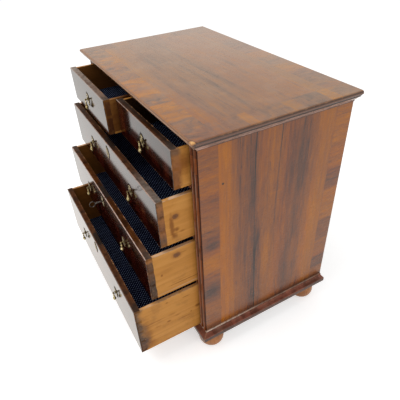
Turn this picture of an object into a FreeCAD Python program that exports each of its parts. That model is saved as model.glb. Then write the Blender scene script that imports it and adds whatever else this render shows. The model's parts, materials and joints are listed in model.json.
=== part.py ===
import FreeCAD, Part
import math
import os

from FreeCAD import Vector

# A chest of two short and three long drawers, in millimetres. The front faces -Y, and +X is on
# the right as seen facing the front. The origin is on the floor, under the middle of the whole
# chest with its drawers standing open as far as rest_openings says.

# Case
case_width = 900.0
case_depth = 548.0
side_thickness = 21.0
back_thickness = 12.0
back_rebate = 10.0
back_board_count = 4
carcase_top_thickness = 26.0
bottom_thickness = 17.0
base_frame_thickness = 9.0
base_frame_width = 90.0
case_lap = 5.0

# Front frame and inner boards
stile_width = 39.6
stile_depth = 20.0
rail_height = 19.0
rail_depth = 60.0
divider_width = 13.6
tenon_length = 9.0
tenon_thickness = 8.0
housing_depth = 7.0
dust_board_thickness = 12.0
guide_height = 25.0
stop_length = 50.0
stop_depth = 16.0
stop_height = 6.0
stop_spread = 250.0

# Top, mouldings and beads
top_thickness = 16.0
top_overhang_front = 31.1
top_overhang_side = 31.6
top_fillet_height = 3.0
top_nose_radius = 8.0
ovolo_projection = 22.0
ovolo_fillet = 3.0
ovolo_swell = 3.0
base_projection = 25.4
base_nose_drop = 7.0
base_bead_radius = 2.6
base_round = 3.0
base_chamfer = 2.0
base_hollow = 1.4
bead_rise = 5.0
bead_backing = 1.5
bead_fillet = 1.2
bead_inset = 0.3

# Feet
foot_height = 76.0
foot_radius = 48.0
foot_widest_height = 33.0
foot_pad_radius = 25.0
foot_neck_radius = 24.0
foot_neck_height = 64.0
foot_collar_radius = 30.0
foot_collar_height = 8.0
foot_dowel_radius = 12.0
foot_dowel_depth = 14.0
foot_sides = 16
foot_curve_steps = 3
foot_inset_side = 30.0
foot_inset_front = 35.0
foot_inset_back = 68.0

# Drawers, with how far each stands open at rest
long_front_heights = {"lower": 218.0, "middle": 180.5, "upper": 167.0}
small_front_height = 124.5
rest_openings = {"lower": 240.2, "middle": 172.4, "upper": 117.7, "small_left": 98.6, "small_right": 58.0}
drawer_length = 520.0
front_thickness = 22.0
drawer_side_thickness = 11.0
drawer_back_thickness = 11.0
drawer_bottom_thickness = 9.0
drawer_bottom_rebate = 6.0
drawer_bottom_tongue = 8.0
runner_height = 7.0
runner_width = 24.0
side_top_drop = 3.0
back_top_drop = 8.0
front_lap = 5.0
lining_thickness = 0.6
lining_margin = 0.5

# Dovetails
tail_pitch = 56.0
case_tail_pitch = 130.0
pin_width = 7.0
tail_slope = 1.0 / 6.0

# Clearances
running_gap = 0.3
front_under_gap = 1.3
front_over_gap = 1.5
drawer_side_gap = 0.75
strip_gap = 0.2
moulding_gap = 0.2

# Handles
handle_spread = 197.0
plate_half_height = 25.0
plate_half_width = 18.5
plate_thickness = 1.6
pierced_half_width = 2.4
pierced_half_height = 3.6
boss_radius = 6.5
boss_height = 4.0
loop_bar_radius = 1.1
loop_strip_thickness = 1.2
loop_strip_width = 2.2
loop_half_width = 3.3
loop_reach = 11.0
loop_tail = 9.0
drop_length = 37.0
drop_radius = 6.3
drop_neck_radius = 2.0
drop_eye_radius = 3.4
drop_eye_width = 3.6
drop_eye_play = 0.2
drop_sides = 12

# Locks, escutcheons and key
escutcheon_half_height = 26.0
escutcheon_half_width = 16.0
keyhole_depth = 38.0
keyhole_radius = 3.1
keyhole_slot_width = 3.2
keyhole_slot_drop = 11.0
round_sides = 12
lock_width = 66.0
lock_height = 52.0
lock_recess = 12.5
lock_wall = 1.5
selvedge_width = 80.0
selvedge_depth = 15.5
selvedge_thickness = 2.0
bolt_width = 24.0
bolt_thickness = 6.0
bolt_inset = 2.5
bolt_over_key = 5.0
bolt_throw = 9.0
lock_guide_width = 3.0
key_shaft_radius = 2.6
key_reach = 40.0
key_bow_radius = 12.5
key_bow_hole = 9.0
key_bow_thickness = 3.0
key_bow_sides = 24
key_bit_length = 10.0
key_bit_width = 2.5
key_bit_depth = 6.5
key_collar_radius = 4.0
key_collar_length = 4.0

# Levels and faces that the sizes above lead to
reach_out = max(rest_openings.values()) + loop_reach + drop_radius
back_y = (case_depth + reach_out) / 2
front_y = back_y - case_depth
inner_back_y = back_y - back_thickness
half_width = case_width / 2
inner_half = half_width - side_thickness
opening_half = half_width - stile_width
bottom_z = foot_height + base_frame_thickness


def opening_levels():
    # The floor that each row of drawers slides on, and the underside of what closes it above.
    levels = {}
    floor = bottom_z + bottom_thickness
    for name, height in long_front_heights.items():
        ceiling = floor + front_under_gap + height + front_over_gap
        levels[name] = (floor, ceiling)
        floor = ceiling + rail_height
    levels["small"] = (floor, floor + front_under_gap + small_front_height + front_over_gap)
    return levels


levels = opening_levels()
rail_spans = [(levels[name][1], levels[name][1] + rail_height) for name in long_front_heights]
carcase_top_z = levels["small"][1]
top_board_z = carcase_top_z + carcase_top_thickness


def box(low, high):
    return Part.makeBox(high[0] - low[0], high[1] - low[1], high[2] - low[2], Vector(*low))


def outline(place, start, *steps):
    # A closed face. A step is a point for a line, or two points, middle and end, for an arc.
    edges = []
    here = start
    for step in steps:
        if isinstance(step[0], tuple):
            middle, there = step
            edges.append(Part.Arc(place(*here), place(*middle), place(*there)).toShape())
        else:
            there = step
            edges.append(Part.LineSegment(place(*here), place(*there)).toShape())
        here = there
    if here != start:
        edges.append(Part.LineSegment(place(*here), place(*start)).toShape())
    return Part.Face(Part.Wire(edges))


def ring(x, y, z, radius, sides):
    # The corners of a level polygon round an upright axis.
    turns = [2 * math.pi * number / sides for number in range(sides)]
    return [Vector(x + radius * math.cos(turn), y + radius * math.sin(turn), z) for turn in turns]


def facet(*corners):
    return Part.Face(Part.makePolygon(list(corners) + [corners[0]]))


def turned(x, y, profile, sides):
    # A turned piece with flat sides, from pairs of radius and height listed upwards.
    rings = [ring(x, y, z, radius, sides) for radius, z in profile]
    faces = [facet(*rings[0]), facet(*rings[-1])]
    for lower, upper in zip(rings, rings[1:]):
        for number in range(sides):
            after = (number + 1) % sides
            faces.append(facet(lower[number], lower[after], upper[after], upper[number]))
    return Part.makeSolid(Part.makeShell(faces))


def turned_forwards(x, y, z, profile, sides):
    # Like turned, with the profile listed towards the front.
    shape = turned(0, 0, profile, sides)
    shape.rotate(Vector(0, 0, 0), Vector(1, 0, 0), 90)
    shape.translate(Vector(x, y, z))
    return shape


def rod_along_x(x, y, z, half_length, radius, sides):
    # A bar with flat sides, with its middle at the point.
    turns = [2 * math.pi * (number + 0.5) / sides for number in range(sides)]
    places = [(y + radius * math.cos(turn), z + radius * math.sin(turn)) for turn in turns]
    corners = [Vector(x - half_length, across, up) for across, up in places]
    return facet(*corners).extrude(Vector(2 * half_length, 0, 0))


def lozenge(x, y, z, half_width_, half_height_, through):
    corners = [(half_width_, 0), (0, half_height_), (-half_width_, 0), (0, -half_height_)]
    return facet(*[Vector(x + u, y, z + v) for u, v in corners]).extrude(Vector(0, through, 0))


def join(shapes):
    solid = shapes[0].multiFuse(shapes[1:]) if len(shapes) > 1 else shapes[0]
    return solid.removeSplitter()


def save(name, shapes):
    shape = shapes[0] if len(shapes) == 1 else Part.makeCompound(shapes)
    shape.exportStep(os.path.join("parts", name + ".step"))


def mirror_x(shape):
    return shape.mirror(Vector(0, 0, 0), Vector(1, 0, 0))


def tail_row(place, low, high, length, pitch, through):
    # A row of tails between low and high. They narrow towards their root, at length zero.
    count = max(1, round((high - low) / pitch))
    step = (high - low) / count
    wide = (step - pin_width) / 2
    narrow = wide - length * tail_slope
    tails = []
    for number in range(count):
        middle = low + step * (number + 0.5)
        corners = (middle - narrow, 0), (middle - wide, length), (middle + wide, length), (middle + narrow, 0)
        face = outline(place, *corners)
        tails.append(face.extrude(through))
    return tails


# Case boards

def case_tails(side, z_low, z_high):
    # Tails on the ends of the carcase top and bottom, lapped so that they don't show outside.
    length = side_thickness - case_lap

    def place(along, out):
        return Vector(side * (inner_half + out), along, z_low)

    return tail_row(place, front_y, inner_back_y, length, case_tail_pitch, Vector(0, 0, z_high - z_low))


def dovetailed_board(z_low, z_high):
    board = box((-inner_half, front_y, z_low), (inner_half, inner_back_y, z_high))
    return join([board] + case_tails(-1, z_low, z_high) + case_tails(1, z_low, z_high))


def case_side():
    # The right-hand side, with housings for the dust boards and a rebate for the back.
    side = box((inner_half, front_y, bottom_z), (half_width, back_y, top_board_z))
    cuts = [box((inner_half, inner_back_y, bottom_z), (inner_half + back_rebate, back_y, top_board_z))]
    for low_z, top in rail_spans:
        low = (inner_half, front_y + stile_depth, top - dust_board_thickness)
        cuts.append(box(low, (inner_half + housing_depth, inner_back_y, top)))
    cuts += case_tails(1, bottom_z, bottom_z + bottom_thickness)
    cuts += case_tails(1, carcase_top_z, top_board_z)
    return side.cut(cuts)


def back_boards():
    half = inner_half + back_rebate
    width = 2 * half / back_board_count
    boards = []
    for number in range(back_board_count):
        left = -half + number * width
        boards.append(box((left, inner_back_y, bottom_z), (left + width, back_y, top_board_z)))
    return boards


def top_board():
    # The front and back profile run along X, the side profile along Y, and their common part
    # has the thumbnail edge mitred round the corners.
    z0 = top_board_z
    z1 = z0 + top_thickness
    fillet_z = z0 + top_fillet_height
    nose_z = z1 - top_nose_radius
    under = nose_z - fillet_z
    lean = math.sqrt(0.5)

    def nose(edge, sign):
        # The edge upwards, as a corner, a corner and two quarter rounds.
        def at(back, z):
            return (edge - sign * back, z)

        low_middle = at(under * (1 - lean), nose_z - under * lean)
        high_middle = at(top_nose_radius * (1 - lean), nose_z + top_nose_radius * lean)
        lower_arc = (low_middle, at(0, nose_z))
        upper_arc = (high_middle, at(top_nose_radius, z1))
        return at(under, z0), at(under, fillet_z), lower_arc, upper_arc

    front_edge = front_y - top_overhang_front
    side_edge = half_width + top_overhang_side
    along_x = outline(
        lambda y, z: Vector(-side_edge, y, z),
        *nose(front_edge, -1), (back_y, z1), (back_y, z0),
    )
    foot, step, lower, upper = nose(-side_edge, -1)
    downwards = [upper[1], (upper[0], lower[1]), (lower[0], step), foot]
    along_y = outline(lambda x, z: Vector(x, front_edge, z), *nose(side_edge, 1), *downwards)
    long_way = along_x.extrude(Vector(2 * side_edge, 0, 0))
    deep_way = along_y.extrude(Vector(0, back_y - front_edge, 0))
    return long_way.common(deep_way)


def mitred_strips(profile, reach, z_low, z_high):
    # A moulding round the front and both sides. The profile gives projection and height.
    def keep(points):
        flat = outline(lambda x, y: Vector(x, y, z_low), *points)
        return flat.extrude(Vector(0, 0, z_high - z_low))

    front = outline(lambda out, z: Vector(-half_width - reach, front_y - out, z), *profile)
    front = front.extrude(Vector(case_width + 2 * reach, 0, 0))
    corner = (half_width, front_y)
    tip = (half_width + reach, front_y - reach)
    front = front.common(keep([(-corner[0], corner[1]), corner, tip, (-tip[0], tip[1])]))
    right = outline(lambda out, z: Vector(half_width + out, front_y - reach, z), *profile)
    right = right.extrude(Vector(0, case_depth + reach, 0))
    right = right.common(keep([corner, tip, (tip[0], back_y), (corner[0], back_y)]))
    return [front, right, mirror_x(right)]


def top_moulding():
    z0 = carcase_top_z
    z1 = top_board_z
    reach = ovolo_projection
    foot = ovolo_fillet
    upper = z1 - 2 * ovolo_fillet
    lower = z0 + ovolo_fillet
    lean = math.sqrt(0.5)
    middle_out = foot + (reach - foot) * (1 - lean) + ovolo_swell
    middle_z = lower + (upper - lower) * lean - ovolo_swell
    ovolo = ((middle_out, middle_z), (reach - foot, upper))
    profile = [(0, z0), (foot, z0), (foot, lower), ovolo, (reach, upper), (reach, z1), (0, z1)]
    return mitred_strips(profile, reach, z0, z1)


def base_moulding():
    z0 = foot_height
    z1 = levels["lower"][0] - moulding_gap
    bead = base_bead_radius
    bead_low = z1 - 2 * bead
    nose_z = z1 - base_nose_drop
    reach = base_projection
    hollow = ((bead + reach) / 2, (bead_low + nose_z) / 2 - base_hollow)
    cut_in = base_round * (1 - math.sqrt(0.5))
    shoulder = (reach - cut_in, nose_z - cut_in)
    profile = [
        (0, z0), (reach - base_chamfer, z0), (reach, z0 + base_chamfer),
        (reach, nose_z - base_round), (shoulder, (reach - base_round, nose_z)),
        (hollow, (bead, bead_low)), ((2 * bead, z1 - bead), (bead, z1)), (0, z1),
    ]
    return mitred_strips(profile, reach, z0, z1)


def base_frame():
    # Strips under the bottom board, which carry the feet.
    z0 = foot_height
    z1 = bottom_z
    inside = half_width - base_frame_width
    front = box((-half_width, front_y, z0), (half_width, front_y + base_frame_width, z1))
    back = box((-half_width, back_y - base_frame_width, z0), (half_width, back_y, z1))
    side = box((inside, front_y + base_frame_width, z0), (half_width, back_y - base_frame_width, z1))
    return [front, back, side, mirror_x(side)]


def foot_places():
    x = half_width - foot_inset_side
    front = front_y + foot_inset_front
    back = back_y - foot_inset_back
    return [(x, front), (-x, front), (x, back), (-x, back)]


def bun_foot(x, y):
    # Two quarter curves make the bun, and a short neck and collar join it to the frame.
    collar_z = foot_height - foot_collar_height
    profile = []
    for number in range(foot_curve_steps + 1):
        turn = math.pi / 2 * number / foot_curve_steps
        radius = foot_pad_radius + (foot_radius - foot_pad_radius) * math.sin(turn)
        profile.append((radius, foot_widest_height * (1 - math.cos(turn))))
    rise = foot_neck_height - foot_widest_height
    for number in range(1, foot_curve_steps + 1):
        turn = math.pi / 2 * number / foot_curve_steps
        radius = foot_neck_radius + (foot_radius - foot_neck_radius) * math.cos(turn)
        profile.append((radius, foot_widest_height + rise * math.sin(turn)))
    profile += [(foot_collar_radius, collar_z), (foot_collar_radius, foot_height)]
    return join([turned(x, y, profile, foot_sides), foot_dowel(x, y)])


def foot_dowel(x, y):
    top = bottom_z + foot_dowel_depth
    face = facet(*ring(x, y, foot_height, foot_dowel_radius, 8))
    return face.extrude(Vector(0, 0, top - foot_height))


# Front frame, inner boards and beads

def rail(low, top):
    tongue_low = top - dust_board_thickness
    middle_y = front_y + stile_depth / 2
    face = box((-opening_half, front_y, low), (opening_half, front_y + stile_depth, top))
    body = box((-inner_half, front_y + stile_depth, low), (inner_half, front_y + rail_depth, top))
    reach = inner_half + housing_depth
    tongue = box((-reach, front_y + stile_depth, tongue_low), (reach, front_y + rail_depth, top))
    return join([face, body, tongue] + [rail_tenon(side, low, top, middle_y) for side in (-1, 1)])


def rail_tenon(side, low, high, middle_y):
    inner = side * opening_half
    outer = side * (opening_half + tenon_length)
    half = tenon_thickness / 2
    return box((min(inner, outer), middle_y - half, low), (max(inner, outer), middle_y + half, high))


def stile():
    low = (opening_half, front_y, levels["lower"][0])
    post = box(low, (inner_half, front_y + stile_depth, carcase_top_z))
    middle_y = front_y + stile_depth / 2
    return post.cut([rail_tenon(1, low_z, top, middle_y) for low_z, top in rail_spans])


def bolt_mortise(ceiling):
    # The pocket over a long drawer that the shot bolt goes into.
    y = front_y + front_thickness - lock_recess + bolt_inset
    half = bolt_width / 2 + 1.0
    return box((-half, y - 1.0, ceiling), (half, y + bolt_thickness + 1.0, ceiling + bolt_throw))


def divider_tenon(z):
    half = divider_width / 2
    middle_y = front_y + rail_depth / 2
    return box((-half, middle_y - rail_depth / 4, z), (half, middle_y + rail_depth / 4, z + tenon_thickness))


def centre_divider():
    low, high = levels["small"]
    post = box((-divider_width / 2, front_y, low), (divider_width / 2, front_y + rail_depth, high))
    return join([post, divider_tenon(low - tenon_thickness), divider_tenon(high)])


def front_frame():
    rails = [rail(low, top) for low, top in rail_spans]
    for number, name in enumerate(long_front_heights):
        rails[number] = rails[number].cut(bolt_mortise(levels[name][1]))
    rails[-1] = rails[-1].cut(divider_tenon(levels["small"][0] - tenon_thickness))
    return [stile(), mirror_x(stile())] + rails


def dust_board(top):
    reach = inner_half + housing_depth
    return box((-reach, front_y + rail_depth, top - dust_board_thickness), (reach, inner_back_y, top))


def guides_and_stops():
    pieces = []
    for name, (floor, ceiling) in levels.items():
        low = (opening_half, front_y + stile_depth, floor)
        guide = box(low, (inner_half, inner_back_y, floor + guide_height))
        pieces += [guide, mirror_x(guide)]
        spread = stop_spread if name in long_front_heights else small_middle()
        stop_y = front_y + front_thickness + running_gap
        low = (spread - stop_length / 2, stop_y, floor)
        stop = box(low, (spread + stop_length / 2, stop_y + stop_depth, floor + stop_height))
        pieces += [stop, mirror_x(stop)]
    floor = levels["small"][0]
    low = (-divider_width / 2, front_y + rail_depth, floor)
    pieces.append(box(low, (divider_width / 2, inner_back_y, floor + guide_height)))
    return pieces


def bead_profile(place, width, count):
    # Half-round beads side by side on a thin backing. The place takes width first, then rise.
    each = width / count
    steps = [(0, bead_backing)]
    for number in range(count):
        left = number * each
        steps.append((left + bead_fillet, bead_backing))
        crown = (left + each / 2, bead_backing + bead_rise)
        steps.append((crown, (left + each - bead_fillet, bead_backing)))
    steps += [(width, bead_backing), (width, 0)]
    return outline(place, (0, 0), *steps)


def front_beads():
    low = levels["lower"][0]
    height = carcase_top_z - low
    inner = opening_half + bead_inset

    stile_face = bead_profile(lambda w, rise: Vector(inner + w, front_y - rise, low), half_width - inner, 2)
    stile_bead = stile_face.extrude(Vector(0, 0, height))
    beads = [stile_bead, mirror_x(stile_bead)]
    for low_z, top in rail_spans:
        start = low_z + bead_inset

        def rail_place(w, rise, z=start):
            return Vector(-inner, front_y - rise, z + w)

        face = bead_profile(rail_place, rail_height - 2 * bead_inset, 1)
        beads.append(face.extrude(Vector(2 * inner, 0, 0)))
    width = divider_width - 2 * bead_inset
    small_floor = levels["small"][0] - bead_inset
    face = bead_profile(lambda w, rise: Vector(w - width / 2, front_y - rise, small_floor), width, 1)
    beads.append(face.extrude(Vector(0, 0, carcase_top_z - small_floor)))
    return beads


# Drawers

def small_middle():
    return (divider_width / 2 + opening_half) / 2


class Drawer:
    # The faces of one drawer where it stands at rest.
    def __init__(self, name):
        self.name = name
        self.locked = name in long_front_heights
        row = name if self.locked else "small"
        floor = levels[row][0]
        height = long_front_heights[name] if self.locked else small_front_height
        self.x0 = -opening_half + drawer_side_gap
        self.x1 = opening_half - drawer_side_gap
        self.handles = [-handle_spread, handle_spread]
        if name == "small_left":
            self.x1 = -divider_width / 2 - drawer_side_gap
            self.handles = [-small_middle()]
        if name == "small_right":
            self.x0 = divider_width / 2 + drawer_side_gap
            self.handles = [small_middle()]
        self.y0 = front_y - rest_openings[name]
        self.inner_y = self.y0 + front_thickness
        self.y1 = self.y0 + drawer_length
        self.runner_z = floor + running_gap
        self.front_z = floor + front_under_gap
        self.top_z = self.front_z + height
        self.side_z = self.runner_z + runner_height
        self.board_z = self.side_z + drawer_bottom_thickness
        self.side_top = self.top_z - side_top_drop
        self.back_top = self.top_z - back_top_drop
        self.handle_z = (self.front_z + self.top_z) / 2
        self.key_z = self.top_z - keyhole_depth


def front_tails(drawer, x0):
    length = front_thickness - front_lap

    def place(along, out):
        return Vector(x0, drawer.inner_y - out, along)

    through = Vector(drawer_side_thickness, 0, 0)
    return tail_row(place, drawer.side_z, drawer.side_top, length, tail_pitch, through)


def back_tails(drawer, x0):
    root = drawer.y1 - drawer_back_thickness

    def place(along, out):
        return Vector(x0, root + out, along)

    through = Vector(drawer_side_thickness, 0, 0)
    return tail_row(place, drawer.board_z, drawer.back_top, drawer_back_thickness, tail_pitch, through)


def side_starts(drawer):
    return [drawer.x0, drawer.x1 - drawer_side_thickness]


def back_pins(drawer, x0):
    # What is left of the corner of the back once the side's tails are cut out of it.
    low = (x0, drawer.y1 - drawer_back_thickness, drawer.board_z)
    corner = box(low, (x0 + drawer_side_thickness, drawer.y1, drawer.back_top))
    return corner.cut(back_tails(drawer, x0))


def drawer_side(drawer, x0):
    high = (x0 + drawer_side_thickness, drawer.y1, drawer.side_top)
    body = box((x0, drawer.inner_y, drawer.side_z), high)
    inner_x = x0 + drawer_side_thickness - drawer_bottom_rebate
    if x0 > drawer.x0:
        inner_x = x0
    low = (inner_x, drawer.inner_y, drawer.side_z)
    rebate = box(low, (inner_x + drawer_bottom_rebate, drawer.y1, drawer.board_z))
    body = body.cut([rebate, back_pins(drawer, x0)])
    return join([body] + front_tails(drawer, x0))


def drawer_bottom(drawer):
    ledge = drawer_side_thickness - drawer_bottom_rebate
    board = box(
        (drawer.x0 + ledge, drawer.inner_y, drawer.side_z),
        (drawer.x1 - ledge, drawer.y1, drawer.board_z),
    )
    inner = drawer_side_thickness
    tongue = box(
        (drawer.x0 + inner, drawer.inner_y - drawer_bottom_tongue, drawer.side_z),
        (drawer.x1 - inner, drawer.inner_y, drawer.board_z),
    )
    return join([board, tongue])


def runner_strips(drawer):
    strips = []
    for x in (drawer.x0, drawer.x1 - runner_width):
        low = (x, drawer.inner_y, drawer.runner_z)
        strips.append(box(low, (x + runner_width, drawer.y1, drawer.side_z)))
    return strips


def drawer_back(drawer):
    inner = drawer_side_thickness
    low = (drawer.x0 + inner, drawer.y1 - drawer_back_thickness, drawer.board_z)
    board = box(low, (drawer.x1 - inner, drawer.y1, drawer.back_top))
    return join([board] + [back_pins(drawer, x0) for x0 in side_starts(drawer)])


def lining(drawer):
    inset = drawer_side_thickness + lining_margin
    low = (drawer.x0 + inset, drawer.inner_y + lining_margin, drawer.board_z)
    back = drawer.y1 - drawer_back_thickness - lining_margin
    return box(low, (drawer.x1 - inset, back, drawer.board_z + lining_thickness))


def drawer_front(drawer):
    board = box((drawer.x0, drawer.y0, drawer.front_z), (drawer.x1, drawer.inner_y, drawer.top_z))
    cuts = []
    for x0 in side_starts(drawer):
        cuts += front_tails(drawer, x0)
    inner = drawer_side_thickness
    low = (drawer.x0 + inner, drawer.inner_y - drawer_bottom_tongue, drawer.side_z)
    cuts.append(box(low, (drawer.x1 - inner, drawer.inner_y, drawer.board_z)))
    cuts += [loop_slot(drawer, x) for x in drawer.handles]
    if drawer.locked:
        cuts += [lock_body(drawer), selvedge(drawer), keyhole(drawer)]
    return board.cut(cuts)


# Handles

def scalloped_plate(x, y, z, half_width_, half_height_):
    # A plate with four points and a lobe between each two. The shares of the half width and the
    # half height run from the top point to the last corner before the right-hand one.
    shares = [
        (0, 1), (0.13, 0.80), (0.24, 0.70), (0.42, 0.72),
        (0.58, 0.62), (0.62, 0.46), (0.60, 0.34), (0.72, 0.18),
    ]
    across = [(1, 0)] + [(u, -v) for u, v in reversed(shares)]
    half = shares + across[:-1]
    around = half + [(-u, -v) for u, v in half]
    corners = [Vector(x + u * half_width_, y, z + v * half_height_) for u, v in around]
    return facet(*corners).extrude(Vector(0, -plate_thickness, 0))


def pierced(plate, x, y, z, places):
    holes = []
    for u, v in places:
        hole = lozenge(x + u, y + 1, z + v, pierced_half_width, pierced_half_height, -plate_thickness - 2)
        holes.append(hole)
    return plate.cut(holes)


def handle_plate(drawer, x):
    y = drawer.y0
    z = drawer.handle_z
    plate = scalloped_plate(x, y, z, plate_half_width, plate_half_height)
    u = 0.50 * plate_half_width
    v = 0.42 * plate_half_height
    plate = pierced(plate, x, y, z, [(u, v), (-u, v), (u, -v), (-u, -v)])
    dome = [(boss_radius, 0), (boss_radius * 0.85, boss_height * 0.6), (boss_radius * 0.5, boss_height)]
    boss = turned_forwards(x, y - plate_thickness, z, dome, drop_sides)
    return join([plate, boss]).cut(loop_slot(drawer, x))


def loop_slot(drawer, x):
    # The slot through plate and front that both legs of the loop pass through.
    half_x = loop_half_width + loop_strip_thickness / 2 + strip_gap
    half_z = loop_strip_width / 2 + strip_gap
    z = drawer.handle_z
    low = (x - half_x, drawer.y0 - loop_reach, z - half_z)
    return box(low, (x + half_x, drawer.inner_y, z + half_z))


def strip_loop(drawer, x):
    # A bent strip. Its bar carries the drop, and its tails are turned over inside the drawer.
    z = drawer.handle_z
    half_z = loop_strip_width / 2
    thick = loop_strip_thickness
    bar_y = drawer.y0 - loop_reach
    outer_y = bar_y - loop_bar_radius
    tail_y = drawer.inner_y + thick
    pieces = [rod_along_x(x, bar_y, z, loop_half_width, loop_bar_radius, 8)]
    for side in (-1, 1):
        middle = x + side * loop_half_width
        far = x + side * (loop_half_width + loop_tail)
        leg_low = (middle - thick / 2, outer_y, z - half_z)
        pieces.append(box(leg_low, (middle + thick / 2, tail_y, z + half_z)))
        tail_low = (min(middle, far), drawer.inner_y, z - half_z)
        pieces.append(box(tail_low, (max(middle, far), tail_y, z + half_z)))
    return join(pieces)


def pear_drop(drawer, x):
    y = drawer.y0 - loop_reach
    z = drawer.handle_z
    tip = z - drop_length
    neck = drop_neck_radius
    full = drop_radius
    profile = [
        (full * 0.34, tip), (full * 0.34, tip + 2.2), (full * 0.80, tip + 4.4),
        (full, tip + 8.0), (full * 0.62, tip + 15.0), (neck, tip + 22.6), (neck * 1.7, tip + 24.0),
        (neck * 1.7, tip + 25.4), (neck, tip + 27.0), (neck, z),
    ]
    eye = rod_along_x(x, y, z, drop_eye_width / 2, drop_eye_radius, drop_sides)
    hole = rod_along_x(x, y, z, drop_eye_width, loop_bar_radius + drop_eye_play, drop_sides)
    return join([turned(x, y, profile, drop_sides), eye]).cut(hole)


# Locks, escutcheons and key

def escutcheon(drawer):
    y = drawer.y0
    z = drawer.key_z
    plate = scalloped_plate(0, y, z, escutcheon_half_width, escutcheon_half_height)
    v = 0.62 * escutcheon_half_height
    plate = pierced(plate, 0, y, z, [(0, v), (0, -v)])
    return plate.cut(keyhole(drawer))


def keyhole(drawer):
    # A round hole for the shaft with a slot below it for the bit, as far in as the lock.
    y0 = drawer.y0 - plate_thickness - 1
    y1 = drawer.inner_y - lock_recess
    z = drawer.key_z
    half = keyhole_slot_width / 2
    slot = box((-half, y0, z - keyhole_slot_drop), (half, y1, z))
    hole = turned_forwards(0, y1, z, [(keyhole_radius, 0), (keyhole_radius, y1 - y0)], round_sides)
    return join([hole, slot])


def lock_body(drawer):
    z1 = drawer.top_z - selvedge_thickness
    half = lock_width / 2
    return box((-half, drawer.inner_y - lock_recess, z1 - lock_height), (half, drawer.inner_y, z1))


def selvedge(drawer):
    half = selvedge_width / 2
    low = (-half, drawer.inner_y - selvedge_depth, drawer.top_z - selvedge_thickness)
    return box(low, (half, drawer.inner_y, drawer.top_z))


def bolt_y(drawer):
    return drawer.inner_y - lock_recess + bolt_inset


def lock_bolt(drawer):
    half = bolt_width / 2
    y = bolt_y(drawer)
    return box((-half, y, drawer.key_z + bolt_over_key), (half, y + bolt_thickness, drawer.top_z))


def lock_case(drawer):
    z1 = drawer.top_z - selvedge_thickness
    half = lock_width / 2 - lock_wall
    low = (-half, drawer.inner_y - lock_recess, z1 - lock_height + lock_wall)
    hollow = box(low, (half, drawer.inner_y - lock_wall, z1))
    shell = lock_body(drawer).cut(hollow)
    bolt_half = bolt_width / 2 + running_gap
    y = bolt_y(drawer) - running_gap
    slot_high = (bolt_half, y + bolt_thickness + 2 * running_gap, drawer.top_z + 1)
    slot = box((-bolt_half, y, z1 - 1), slot_high)
    guide_z = drawer.key_z + key_bit_length
    guide = box((bolt_half, y, guide_z), (bolt_half + lock_guide_width, drawer.inner_y - lock_wall, z1))
    return join([shell, selvedge(drawer), guide, mirror_x(guide)]).cut(slot)


def key(drawer):
    z = drawer.key_z
    bow_y = drawer.y0 - key_reach
    bow_edge = bow_y + key_bow_hole
    tip_y = drawer.inner_y - lock_wall - running_gap
    bow = rod_along_x(0, bow_y, z, key_bow_thickness / 2, key_bow_radius, key_bow_sides)
    bow = bow.cut(rod_along_x(0, bow_y, z, key_bow_thickness, key_bow_hole, key_bow_sides))
    collar_end = tip_y - bow_y - key_bow_radius
    collar_start = collar_end - key_collar_length
    profile = [
        (key_shaft_radius, 0), (key_shaft_radius, collar_start),
        (key_collar_radius, collar_start), (key_collar_radius, collar_end),
        (key_shaft_radius, collar_end), (key_shaft_radius, tip_y - bow_edge - 1),
    ]
    stem = turned_forwards(0, tip_y, z, profile, round_sides)
    bit_half = key_bit_width / 2
    bit_y = tip_y - key_bit_depth
    bit = box((-bit_half, bit_y, z - key_bit_length), (bit_half, tip_y, z))
    return join([bow, stem, bit])


# Assembly

def build_case():
    dowels = [foot_dowel(x, y) for x, y in foot_places()]
    save("top_board", [top_board()])
    save("top_moulding", top_moulding())
    save("carcase_top", [dovetailed_board(carcase_top_z, top_board_z).cut(divider_tenon(carcase_top_z))])
    save("side_right", [case_side()])
    save("side_left", [mirror_x(case_side())])
    save("back_boards", back_boards())
    save("bottom_board", [dovetailed_board(bottom_z, bottom_z + bottom_thickness).cut(dowels)])
    save("base_frame", [strip.cut(dowels) for strip in base_frame()])
    save("base_moulding", base_moulding())
    save("bun_feet", [bun_foot(x, y) for x, y in foot_places()])
    save("front_frame", front_frame())
    save("dust_boards", [dust_board(top) for low, top in rail_spans])
    save("centre_divider", [centre_divider()])
    save("guides_and_stops", guides_and_stops())
    save("front_beads", front_beads())


def build_drawer(name):
    drawer = Drawer(name)
    save(name + "_front", [drawer_front(drawer)])
    save(name + "_sides", [drawer_side(drawer, x0) for x0 in side_starts(drawer)])
    save(name + "_back", [drawer_back(drawer)])
    save(name + "_bottom", [drawer_bottom(drawer)] + runner_strips(drawer))
    save(name + "_lining", [lining(drawer)])
    brasses = []
    for x in drawer.handles:
        brasses += [handle_plate(drawer, x), strip_loop(drawer, x)]
    ends = ["drop"] if len(drawer.handles) == 1 else ["drop_left", "drop_right"]
    for end, x in zip(ends, drawer.handles):
        save(name + "_" + end, [pear_drop(drawer, x)])
    if drawer.locked:
        brasses.append(escutcheon(drawer))
        save(name + "_lock_case", [lock_case(drawer)])
        save(name + "_lock_bolt", [lock_bolt(drawer)])
    save(name + "_brasses", brasses)


os.makedirs("parts", exist_ok=True)
build_case()
for drawer_name in rest_openings:
    build_drawer(drawer_name)
save("key", [key(Drawer("middle"))])
print("top surface at", round(top_board_z + top_thickness, 1))
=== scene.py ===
import json
import math

import bmesh
import bpy
from mathutils import Matrix, Vector


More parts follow.
